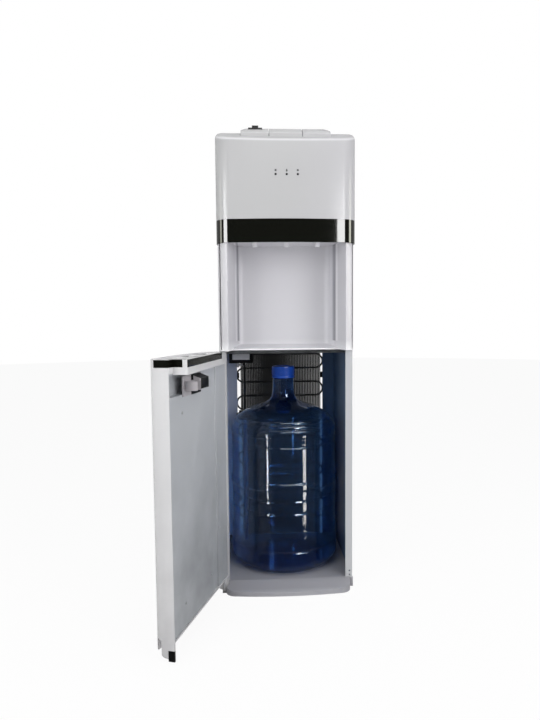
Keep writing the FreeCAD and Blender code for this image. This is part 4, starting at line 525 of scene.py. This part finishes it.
def lining_grey():
    """Grey of the door's lining, with painted shade deepening towards the floor."""
    finish = Finish("grey_door_liner", (0.47, 0.488, 0.515), 0.44)
    finish.mottled(scale=5.0, amount=0.18, shade=0.86)
    finish.polished_unevenly(scale=9.0, low=0.38, high=0.52)
    finish.grained(scale=650.0, strength=0.25)
    # painted shade: darker towards the floor
    finish.shaded_low(top=0.46, bottom=0.02, colour=(0.20, 0.21, 0.225), amount=1.0)
    return finish.material


def plate_grey():
    # its own light grey, painted paler as painted light where it sits in shade
    finish = Finish("bare_grey_plate", (0.88, 0.88, 0.88), 0.38)
    finish.mottled(scale=60.0, amount=0.35, shade=0.75)
    finish.polished_unevenly(scale=30.0, low=0.3, high=0.5)
    return finish.material


def band_black():
    """Black gloss of the head's band and the door's trim."""
    finish = Finish("black_gloss_band", (0.0045, 0.005, 0.0035), 0.07, Specular_IOR_Level=0.5)
    finish.polished_unevenly(scale=5.0, low=0.05, high=0.10)
    finish.grained(scale=30.0, strength=0.02, depth=1 * MM, detail=1.0)
    return finish.material


def moulding_black():
    finish = Finish("black_moulding", BLACK, 0.36, Specular_IOR_Level=0.35)
    finish.mottled(scale=20.0, amount=0.3, shade=0.6)
    finish.polished_unevenly(scale=14.0, low=0.28, high=0.46)
    finish.grained(scale=800.0, strength=0.35, depth=0.25 * MM)
    return finish.material


def holder_black():
    """The probe's holder: black, with the grey of the lining on its outer half."""
    finish = Finish("two_tone_holder", BLACK, 0.36, Specular_IOR_Level=0.35)
    outer_half = finish.within("Y", -0.30, -0.203)
    finish.paint(outer_half, (0.42, 0.40, 0.42))
    finish.polished_unevenly(scale=14.0, low=0.28, high=0.46)
    finish.grained(scale=800.0, strength=0.35, depth=0.25 * MM)
    return finish.material


def rubber_black():
    finish = Finish("black_rubber", (0.022, 0.022, 0.023), 0.7, Specular_IOR_Level=0.35)
    finish.mottled(scale=25.0, amount=0.4, shade=0.6)
    finish.grained(scale=600.0, strength=0.5, depth=0.3 * MM)
    return finish.material


def smoked_lens():
    finish = Finish("smoked_lens", (0.035, 0.035, 0.04), 0.12, Specular_IOR_Level=0.6)
    finish.mottled(scale=200.0, amount=0.3, shade=0.7)
    finish.polished_unevenly(scale=80.0, low=0.08, high=0.16)
    return finish.material


def printed_grey():
    finish = Finish("grey_print", (0.05, 0.05, 0.055), 0.5)
    finish.mottled(scale=300.0, amount=0.3)
    finish.polished_unevenly(scale=100.0, low=0.4, high=0.6)
    return finish.material


def rocker(name, colour):
    """Glossy coloured plastic of a rear rocker."""
    finish = Finish(name, colour, 0.25)
    finish.mottled(scale=80.0, amount=0.2)
    finish.polished_unevenly(scale=60.0, low=0.2, high=0.34)
    return finish.material


# ------------------------------------------------------------------ metals and inner materials

def condenser_enamel():
    finish = Finish("black_condenser_enamel", (0.010, 0.011, 0.010), 0.38)
    finish.mottled(scale=30.0, amount=0.4, shade=0.5)
    finish.polished_unevenly(scale=25.0, low=0.3, high=0.5)
    finish.grained(scale=300.0, strength=0.3, depth=0.3 * MM)
    return finish.material


def galvanised_sheet():
    """Zinc-coated sheet with faint large crystals."""
    finish = Finish("galvanised_sheet", (0.50, 0.51, 0.52), 0.36, Metallic=1.0)
    crystals = finish.ranged(finish.noise(scale=55.0, detail=1.0), 0.0, 0.45, start=0.35, end=0.65)
    finish.paint(crystals, (0.36, 0.37, 0.39))
    finish.polished_unevenly(scale=38.0, low=0.28, high=0.5)
    finish.grained(scale=60.0, strength=0.08, depth=0.6 * MM, detail=2.0)
    return finish.material


def drawn_steel():
    """Stainless tank wall with upright drawing marks."""
    finish = Finish("drawn_steel", (0.58, 0.58, 0.59), 0.3, Metallic=1.0)
    drawn = finish.stretched((1.0, 1.0, 0.03))
    finish.polished_unevenly(scale=900.0, low=0.22, high=0.42, place=drawn)
    finish.grained(scale=900.0, strength=0.12, depth=0.1 * MM, detail=2.0, place=drawn)
    return finish.material


def copper_tube():
    finish = Finish("copper_tube", (0.62, 0.31, 0.20), 0.3, Metallic=1.0)
    tarnish = finish.ranged(finish.noise(scale=26.0, detail=4.0), 0.0, 0.7)
    finish.paint(tarnish, (0.30, 0.15, 0.10))
    finish.polished_unevenly(scale=30.0, low=0.22, high=0.5)
    return finish.material


def insulation_foam():
    finish = Finish("insulation_foam", (0.72, 0.67, 0.50), 0.9)
    finish.mottled(scale=60.0, amount=0.4, shade=0.75)
    finish.grained(scale=380.0, strength=0.9, depth=1 * MM)
    return finish.material


def circuit_board():
    finish = Finish("circuit_board", (0.02, 0.10, 0.04), 0.4)
    finish.mottled(scale=90.0, amount=0.5, shade=0.6)
    finish.grained(scale=260.0, strength=0.3, depth=0.3 * MM)
    return finish.material


def silicone_hose():
    finish = Finish("clear_silicone_hose", (0.70, 0.70, 0.69), 0.35, Transmission_Weight=0.35, IOR=1.41)
    finish.mottled(scale=40.0, amount=0.2, shade=0.9)
    finish.polished_unevenly(scale=20.0, low=0.28, high=0.45)
    return finish.material


# ------------------------------------------------------------------ bottle and cap finishes

def bottle_wall():
    """Clear blue wall: deeper at the foot and on the shoulder, paler at the neck; the shoulder's deeper
    blue is partly thicker plastic and partly painted shade.
    """
    finish = Finish("blue_bottle_wall", (0.39, 0.61, 0.90), 0.06, Transmission_Weight=1.0, IOR=1.45)
    clouds = finish.ranged(finish.noise(scale=7.0, detail=2.0), 0.0, 0.3)
    finish.paint(clouds, (0.31, 0.52, 0.84))
    finish.polished_unevenly(scale=14.0, low=0.04, high=0.10)
    finish.grained(scale=26.0, strength=0.06, depth=2 * MM, detail=1.0)
    # deeper blue on the shoulder: partly thicker plastic, partly painted shade
    finish.paint(finish.past("Z", 0.402, 0.425, share=0.9), (0.10, 0.22, 0.60))
    finish.paint(finish.past("Z", 0.444, 0.456, share=0.9), (0.41, 0.63, 0.98))
    finish.paint(finish.before("Z", 0.075, 0.105, share=0.8), (0.24, 0.42, 0.78))
    return finish.material


def cap_blue():
    finish = Finish("blue_bottle_cap", (0.006, 0.070, 0.44), 0.32)
    finish.mottled(scale=50.0, amount=0.3, shade=0.75)
    finish.polished_unevenly(scale=30.0, low=0.28, high=0.42)
    finish.grained(scale=600.0, strength=0.2)
    return finish.material


# ------------------------------------------------------------------ which piece has which finish

FINISHES = {
    "door": door_white(),
    "head": head_white(),
    "satin": satin_white(),
    "recess": recess_white(),
    "side": side_paint(),
    "base": base_shaded_white(),
    "lining": lining_grey(),
    "band": band_black(),
    "black": moulding_black(),
    "holder": holder_black(),
    "rubber": rubber_black(),
    "enamel": condenser_enamel(),
    "zinc": galvanised_sheet(),
    "steel": drawn_steel(),
    "copper": copper_tube(),
    "foam": insulation_foam(),
    "board": circuit_board(),
    "silicone": silicone_hose(),
    "lens": smoked_lens(),
    "print": printed_grey(),
    "bottle": bottle_wall(),
    "cap": cap_blue(),
    "grille": grille_white(),
    "plate": plate_grey(),
    "red": rocker("red_rocker", (0.42, 0.02, 0.015)),
    "green": rocker("green_rocker", (0.02, 0.24, 0.05)),
}

NODES_OF_FINISH = {
    "door": ["door_outer_shell", "tray_housing"],
    "head": ["head_cover", "top_cover", "hot_button", "room_button", "cold_button"],
    "satin": ["hot_tap", "room_tap", "cold_tap", "outlet_fitting", "drain_spigot", "drip_tray"],
    "recess": ["recess_liner"],
    "side": ["left_side_panel", "right_side_panel"],
    "base": ["base_tray"],
    "lining": ["door_inner_panel"],
    "band": ["head_band", "door_band"],
    "black": [
        "pump", "probe_collar", "power_inlet", "drain_cap", "switch_bezels", "child_lock", "door_catch",
    ],
    "holder": ["probe_hanger"],
    "rubber": ["anti_slip_pads", "compressor_grommets", "suction_hose"],
    "enamel": ["condenser_tube", "condenser_wires", "condenser_brackets", "compressor"],
    "zinc": [
        "compressor_shelf", "tank_shelf", "rear_upper_panel", "rear_panel_screws", "heater_band",
        "pump_bracket", "lower_hinge_bracket", "upper_hinge_bracket", "door_screws",
    ],
    "steel": ["cold_tank", "hot_tank"],
    "copper": ["evaporator", "filter_dryer", "refrigerant_lines"],
    "foam": ["tank_insulation"],
    "board": ["control_board"],
    "silicone": ["probe_straw", "pump_outlet_hose", "tap_hoses"],
    "lens": ["indicator_lenses"],
    "bottle": ["bottle"],
    "cap": ["bottle_cap"],
    "grille": ["drip_grille"],
    "red": ["hot_switch"],
    "green": ["cold_switch"],
}


def dress_solids():
    """Every solid gets its finish, also those that a finer piece stands for."""
    for finish, names in NODES_OF_FINISH.items():
        for name in names:
            materials = NODES[name].data.materials
            for slot in range(len(materials)):
                materials[slot] = FINISHES[finish]


# ------------------------------------------------------------------ making pieces

def finished(name, shape, body, finish, replaces=(), sharp=35):
    """Turns a bmesh into a smooth piece that rides on a body, with creases past an angle."""
    mesh = bpy.data.meshes.new(name)
    shape.to_mesh(mesh)
    shape.free()
    piece = bpy.data.objects.new(name, mesh)
    bpy.context.scene.collection.objects.link(piece)
    mesh.materials.append(FINISHES[finish])
    mesh.shade_smooth()
    mesh.set_sharp_from_angle(angle=math.radians(sharp))
    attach(piece, body)
    if replaces:
        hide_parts(*replaces)
    return piece


def body_of(node):
    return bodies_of(NODES[node])[0]


def finish_of(node):
    for finish, names in NODES_OF_FINISH.items():
        if node in names:
            return finish


def turned(outline, centre, steps, rounding=0.0, round_segments=3):
    """Revolves an outline of (radius, height) pairs about an upright axis."""
    shape = bmesh.new()
    points = [shape.verts.new((radius, 0, height)) for radius, height in outline]
    for start, end in zip(points, points[1:]):
        shape.edges.new((start, end))
    if rounding:
        bmesh.ops.bevel(
            shape, geom=points[1:-1], offset=rounding, offset_type="OFFSET", affect="VERTICES",
            segments=round_segments, profile=0.5, material=-1, clamp_overlap=True,
        )
    bmesh.ops.spin(
        shape, geom=shape.verts[:] + shape.edges[:], cent=(0, 0, 0), axis=(0, 0, 1), dvec=(0, 0, 0),
        angle=2 * math.pi, steps=steps, use_merge=True,
    )
    bmesh.ops.remove_doubles(shape, verts=shape.verts, dist=MERGED)
    bmesh.ops.recalc_face_normals(shape, faces=shape.faces)
    bmesh.ops.translate(shape, verts=shape.verts, vec=centre)
    return shape


def thickened(points, way):
    """A closed plate: a face through the points, extruded."""
    shape = bmesh.new()
    near = shape.faces.new([shape.verts.new(point) for point in points])
    made = bmesh.ops.extrude_face_region(shape, geom=[near])["geom"]
    far = [part for part in made if isinstance(part, bmesh.types.BMVert)]
    bmesh.ops.translate(shape, verts=far, vec=way)
    bmesh.ops.recalc_face_normals(shape, faces=shape.faces)
    return shape


# ------------------------------------------------------------------ mouldings with rounded edges

NEARLY_FLAT = math.radians(0.4)
ROUNDED_FROM = 40  # degrees between two faces, from which their edge is rounded

EDGE_ROUNDING = {
    "recess_liner": 0.9 * MM, "door_outer_shell": 0.6 * MM, "door_inner_panel": 0.8 * MM,
    "tray_housing": 0.7 * MM, "base_tray": 0.9 * MM, "drip_tray": 0.3 * MM, "drip_grille": 0.3 * MM,
    "top_cover": 0.6 * MM, "head_band": 0.3 * MM, "pump": 0.5 * MM, "probe_hanger": 0.6 * MM,
    "hot_button": 1.2 * MM, "room_button": 1.2 * MM, "cold_button": 1.2 * MM, "child_lock": 0.3 * MM,
}


def eased(node, width):
    """A merged copy of a solid with its sharp edges rounded, standing for it."""
    shape = bmesh.new()
    shape.from_mesh(NODES[node].data)
    bmesh.ops.remove_doubles(shape, verts=shape.verts, dist=MERGED)
    bmesh.ops.dissolve_limit(
        shape, angle_limit=NEARLY_FLAT, use_dissolve_boundaries=False, verts=shape.verts, edges=shape.edges,
    )
    piece = finished(node + "_eased", shape, body_of(node), finish_of(node), (node,), ROUNDED_FROM)
    rounding = piece.modifiers.new("rounded_edges", "BEVEL")
    rounding.width = width
    rounding.segments = 2
    rounding.limit_method = "ANGLE"
    rounding.angle_limit = math.radians(ROUNDED_FROM)
    rounding.harden_normals = False


def ease_mouldings():
    for node, width in EDGE_ROUNDING.items():
        eased(node, width)


# ------------------------------------------------------------------ the bottle

def supported(outline, reach=3.2 * MM):
    """Adds a point near each end of the longer runs, so that they stay straight."""
    long_run = reach * 2.6
    points = [outline[0]]
    for start, end in zip(outline, outline[1:]):
        run = math.dist(start, end)
        if run > long_run:
            for share in (reach / run, 1 - reach / run):
                points.append(tuple(a + (b - a) * share for a, b in zip(start, end)))
        points.append(end)
    return points


def groove(radius, height):
    """Three outline points of a shallow ring pressed into the bottle's wall."""
    deep, half = 2 * MM, 3.5 * MM
    return [(radius, height - half), (radius - deep, height), (radius, height + half)]


def bottle_outline(full, top):
    """Foot, three belts with sunk panels between them, ribbed dome, neck; heights from the foot."""
    sunk = full - 2.5 * MM
    foot = [
        (0.0, 0.0), (0.104, 0.0), (0.114, 0.0012), (0.1255, 0.0095),
        (full - 0.0012, 0.019), (full, 0.026),
    ]
    low_belt = groove(full, 0.0565) + [(full, 0.0925)]
    low_panel = [(sunk, 0.1065)] + groove(sunk, 0.150) + groove(sunk, 0.180) + [(sunk, 0.203)]
    middle_belt = [(full, 0.207), (full, 0.220)]
    high_panel = [(sunk, 0.224)] + groove(sunk, 0.310) + [(sunk, 0.329)]
    high_belt = [(full, 0.333), (full, 0.3395)]
    dome_ribs = [
        (0.1334, 0.3455), (0.1314, 0.3495), (0.1276, 0.3512), (0.1274, 0.3545), (0.1268, 0.3565),
        (0.1248, 0.3605), (0.1210, 0.3620), (0.1208, 0.3640), (0.1204, 0.3655), (0.1184, 0.3695),
    ]
    dome = [
        (0.1150, 0.3710), (0.1105, 0.3742), (0.104, 0.3793),
        (0.092, 0.3868), (0.080, 0.3920), (0.066, 0.3968),
    ]
    neck = [
        (0.052, 0.4013), (0.042, 0.4055), (0.0345, 0.4105),
        (0.0300, 0.4175), (0.0283, 0.4260), (0.0274, 0.4370),
    ]
    mouth = [(0.027, top - 0.0008), (0.0255, top - 0.0003), (0.0, top - 0.0003)]
    side = low_belt + low_panel + middle_belt + high_panel + high_belt
    return foot + side + dome_ribs + dome + neck + mouth


def bottle():
    """Blown bottle with a thin wall."""
    low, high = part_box("bottle")
    centre = ((low.x + high.x) / 2, (low.y + high.y) / 2, low.z)
    outline = bottle_outline((high.x - low.x) / 2, high.z - low.z)
    shape = turned(supported(outline), centre, steps=112, rounding=1.1 * MM)
    piece = finished("bottle_shell", shape, "water_bottle", "bottle", ("bottle",), 60)
    wall = piece.modifiers.new("wall", "SOLIDIFY")
    wall.thickness = 1.2 * MM
    wall.offset = -1


def cap():
    """Snap-on cap with a ribbed skirt above a tear band."""
    low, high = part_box("bottle_cap")
    centre = ((low.x + high.x) / 2, (low.y + high.y) / 2, low.z)
    radius, tall = (high.x - low.x) / 2, high.z - low.z
    skirt_radius, groove_radius = radius - 0.0004, radius - 0.0012
    shoulder, rib_low, rib_high = tall - 0.0012, 0.0092, tall - 0.0045
    top = [(0.0, shoulder), (radius * 0.62, shoulder), (radius * 0.66, tall), (radius - 0.0035, tall)]
    skirt = [(radius - 0.0008, shoulder), (skirt_radius, tall - 0.004), (skirt_radius, 0.0085)]
    tear_band = [(groove_radius, 0.0075), (groove_radius, 0.0066), (radius, 0.0058), (radius, 0.0006)]
    mouth = [(radius - 0.0006, 0.0), (0.0, 0.0)]
    steps = 120
    shape = turned(top + skirt + tear_band + mouth, centre, steps, rounding=0.3 * MM, round_segments=2)
    ribs = []
    for face in shape.faces:
        spot = face.calc_center_median()
        on_skirt = abs(face.normal.z) < 0.2 and rib_low < spot.z - centre[2] < rib_high
        turn = math.atan2(spot.y - centre[1], spot.x - centre[0])
        if on_skirt and round(turn / (2 * math.pi) * steps) % 2:
            ribs.append(face)
    bmesh.ops.inset_individual(shape, faces=ribs, thickness=0.2 * MM, depth=0.4 * MM)
    finished("cap_ribbed", shape, "water_bottle", "cap", ("bottle_cap",), 40)


# ------------------------------------------------------------------ condenser

WIRE_GAPS = 48             # gaps of the front layer across the solid's width
WIRE_RADIUS = 1.18 * MM
WIRE_FOOT = 18 * MM
BACK_SHIFT = 0.22 * MM     # keeps the back wires in the gaps for an eye left of the middle


def condenser_grid():
    """Two layers of fin wires welded to the front and back of the tube, the back one in the gaps.

    One wire more stands at the right of each, and all reach down behind the base."""
    low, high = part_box("condenser_wires")
    pitch = (high.x - low.x - 2 * WIRE_RADIUS) / WIRE_GAPS
    shape = bmesh.new()
    # the back layer fills the front layer's gaps, so the black wires also stand in for the shade seen
    # through the grid
    for layer, y in enumerate((low.y + WIRE_RADIUS, high.y - WIRE_RADIUS)):
        for k in range(WIRE_GAPS + 2 - layer):
            x = low.x + WIRE_RADIUS + pitch * (k + layer / 2) + layer * BACK_SHIFT
            bmesh.ops.create_cone(
                shape, cap_ends=True, segments=8, radius1=WIRE_RADIUS, radius2=WIRE_RADIUS,
                depth=high.z - WIRE_FOOT, matrix=Matrix.Translation((x, y, (WIRE_FOOT + high.z) / 2)),
            )
    finished("condenser_grid", shape, "cabinet", "enamel", ("condenser_wires",), 60)


# ------------------------------------------------------------------ screws

DOOR_OPEN = math.radians(107.5)
HINGE = (-0.148, -0.010)
LINING_FACE = -3 * MM  # where the lining's face is on the closed door
DOOR_SCREWS = ((91.3, 460), (91.2, 88), (-104.5, 315), (-98, 173.5), (-44, 88))  # mm across and up


def on_open_door(x, y):
    """A place on the closed door, taken to where the open door holds it."""
    dx, dy = x - HINGE[0], y - HINGE[1]
    return (
        HINGE[0] + math.cos(DOOR_OPEN) * dx + math.sin(DOOR_OPEN) * dy,
        HINGE[1] - math.sin(DOOR_OPEN) * dx + math.cos(DOOR_OPEN) * dy,
    )


def screw_head(radius, height):
    """Pan head with a cross recess, seated at the origin and facing up."""
    pan = [(radius, 0.0), (radius, height * 0.45), (radius * 0.86, height * 0.8), (radius * 0.66, height)]
    shape = turned(pan, centre=(0, 0, 0), steps=24)
    rim = [edge for edge in shape.edges if edge.is_boundary and edge.verts[0].co.z > 0]
    arm, half = radius * 0.52, radius * 0.13
    floor_level, taper = height * 0.35, 0.8
    plan = [
        (arm, -half), (arm, half), (half, half), (half, arm), (-half, arm), (-half, half),
        (-arm, half), (-arm, -half), (-half, -half), (-half, -arm), (half, -arm), (half, -half),
    ]
    corners = [shape.verts.new((x, y, height)) for x, y in plan]
    cross = [shape.edges.new(pair) for pair in zip(corners, corners[1:] + corners[:1])]
    bmesh.ops.bridge_loops(shape, edges=rim + cross)
    sunk = bmesh.ops.extrude_edge_only(shape, edges=cross)["geom"]
    floor = [part for part in sunk if isinstance(part, bmesh.types.BMVert)]
    bmesh.ops.scale(shape, verts=floor, vec=(taper, taper, 1.0))
    bmesh.ops.translate(shape, verts=floor, vec=(0, 0, floor_level - height))
    bmesh.ops.holes_fill(shape, edges=shape.edges, sides=0)
    bmesh.ops.recalc_face_normals(shape, faces=shape.faces)
    mesh = bpy.data.meshes.new("screw_head")
    shape.to_mesh(mesh)
    shape.free()
    return mesh


def screw_heads(name, head, seats, outward, body, node):
    """One piece with a copy of a screw head on each seat, facing outward."""
    turn = Vector(outward).normalized().to_track_quat("Z", "Y").to_matrix().to_4x4()
    shape = bmesh.new()
    for seat in seats:
        before = len(shape.verts)
        shape.from_mesh(head)
        shape.verts.ensure_lookup_table()
        bmesh.ops.transform(shape, matrix=Matrix.Translation(seat) @ turn, verts=shape.verts[before:])
    bpy.data.meshes.remove(head)
    finished(name, shape, body, "zinc", (node,), 30)


def door_screws():
    seats = [(*on_open_door(x * MM, LINING_FACE), z * MM) for x, z in DOOR_SCREWS]
    inward = (math.sin(DOOR_OPEN), math.cos(DOOR_OPEN), 0)
    screw_heads("door_screw_heads", screw_head(3 * MM, 1.4 * MM), seats, inward, "door", "door_screws")


def rear_screws():
    low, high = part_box("rear_panel_screws")
    radius = 3.5 * MM
    levels = (low.z + radius, (low.z + high.z) / 2, high.z - radius)
    seats = [(side * (high.x - radius), low.y, level) for side in (-1, 1) for level in levels]
    head = screw_head(radius, 2 * MM)
    screw_heads("rear_screw_heads", head, seats, (0, 1, 0), "cabinet", "rear_panel_screws")


# ------------------------------------------------------------------ plates and marks

def rounded_rectangle(half_wide, half_tall, corner):
    """Outline points with each corner as an arc of five steps."""
    steps = 5
    points = []
    for quarter, (side, end) in enumerate(((1, 1), (-1, 1), (-1, -1), (1, -1))):
        for k in range(steps + 1):
            turn = math.pi / 2 * (quarter + k / steps)
            points.append((
                side * (half_wide - corner) + corner * math.cos(turn),
                end * (half_tall - corner) + corner * math.sin(turn),
            ))
    return points


def pump_plate():
    """Bare grey plate on the face of the pump box, with the front edges of its corners eased.

    The bevel runs before the faces have normals, which keeps the long runs square."""
    thick = Vector((0, -0.3 * MM, 0))
    middle = Vector((-0.10775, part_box("pump")[0].y + 0.05 * MM, 0.5365))
    outline = rounded_rectangle(half_wide=23.2 * MM, half_tall=7.8 * MM, corner=1 * MM)
    shape = bmesh.new()
    back = [shape.verts.new(middle + Vector((x, 0, z))) for x, z in outline]
    front = [shape.verts.new(corner.co + thick) for corner in back]
    for k in range(len(outline)):
        after = (k + 1) % len(outline)
        shape.faces.new((back[k], back[after], front[after], front[k]))
    face = shape.faces.new(front)
    shape.faces.new(back[::-1])
    bmesh.ops.bevel(
        shape, geom=face.edges[:], offset=0.1 * MM, offset_type="OFFSET", affect="EDGES",
        segments=2, profile=0.5, material=-1, clamp_overlap=True,
    )
    bmesh.ops.recalc_face_normals(shape, faces=shape.faces)
    finished("pump_plate", shape, "cabinet", "plate", sharp=30)


def housing_corner_and_highlight():
    """White corner of the tray housing that parts the two runs of black trim, partly a painted highlight on
    the trim's rounded corner.

    Its path on the open door, seen from above, is in millimetres."""
    low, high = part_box("door_band")
    proud, sunk = 0.4, 0.15
    centre_x, centre_y, radius = -200.1, -284.0, 4.0
    path = [(-206.9, -285.56), (-202.6, -287.16), (-200.3, -288.0)]
    for turn in (-1.5, -1.2, -0.9, -0.6, -0.3, -0.05):
        path.append((centre_x + radius * math.cos(turn), centre_y + radius * math.sin(turn)))
    path.append((-195.8, -281.8))
    outer, inner = [], []
    for k, place in enumerate(path):
        before, after = path[max(k - 1, 0)], path[min(k + 1, len(path) - 1)]
        way = (Vector(after) - Vector(before)).normalized()
        out = Vector((way.y, -way.x))
        outer.append(Vector(place) + out * proud)
        inner.append(Vector(place) - out * sunk)
    plan = [(spot.x * MM, spot.y * MM, low.z) for spot in outer + inner[::-1]]
    # white strip: the housing's corner and partly a painted highlight
    finished("housing_corner_and_highlight", thickened(plan, (0, 0, high.z - low.z)), "door", "door", sharp=30)


def star(points, tip_each, notch):
    """Outline points around a ring, with a tip at every few and a notch at the rest."""
    tip = 3.3 * MM
    outline = []
    for k in range(points):
        reach = tip if k % tip_each == 0 else notch
        turn = 2 * math.pi * k / points
        outline.append((reach * math.cos(turn), reach * math.sin(turn)))
    return outline


def drop():
    """Outline of a drop, narrowing upwards."""
    points, half_wide, half_tall = 16, 2.6 * MM, 3.3 * MM
    outline = []
    for k in range(points):
        turn = 2 * math.pi * k / points
        fullness = 0.25 + 0.75 * 0.5 * (1 - math.sin(turn))
        outline.append((half_wide * math.cos(turn) * fullness, half_tall * math.sin(turn)))
    return outline


def pictograms():
    """Plain printed marks above the three lamps, on the head's bowed face."""
    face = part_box("head_cover")[0].y
    bow_radius, level, spacing = 1.0, 0.9557, 24 * MM
    marks = (
        ("sun_mark", -spacing, star(12, tip_each=2, notch=1.8 * MM)),
        ("drop_mark", 0.0, drop()),
        ("frost_mark", spacing, star(24, tip_each=4, notch=2.0 * MM)),
    )
    for name, x, outline in marks:
        bow = bow_radius - math.sqrt(bow_radius ** 2 - x ** 2)
        points = [(x + across, face + bow + 0.02 * MM, level + up) for across, up in outline]
        finished(name, thickened(points, (0, -0.1 * MM, 0)), "cabinet", "print", sharp=30)


camera()
lights()
world()
studio_floor()
dress_solids()
ease_mouldings()
bottle()
cap()
condenser_grid()
door_screws()
rear_screws()
pump_plate()
housing_corner_and_highlight()
pictograms()
bpy.context.scene.view_settings.view_transform = "Standard"
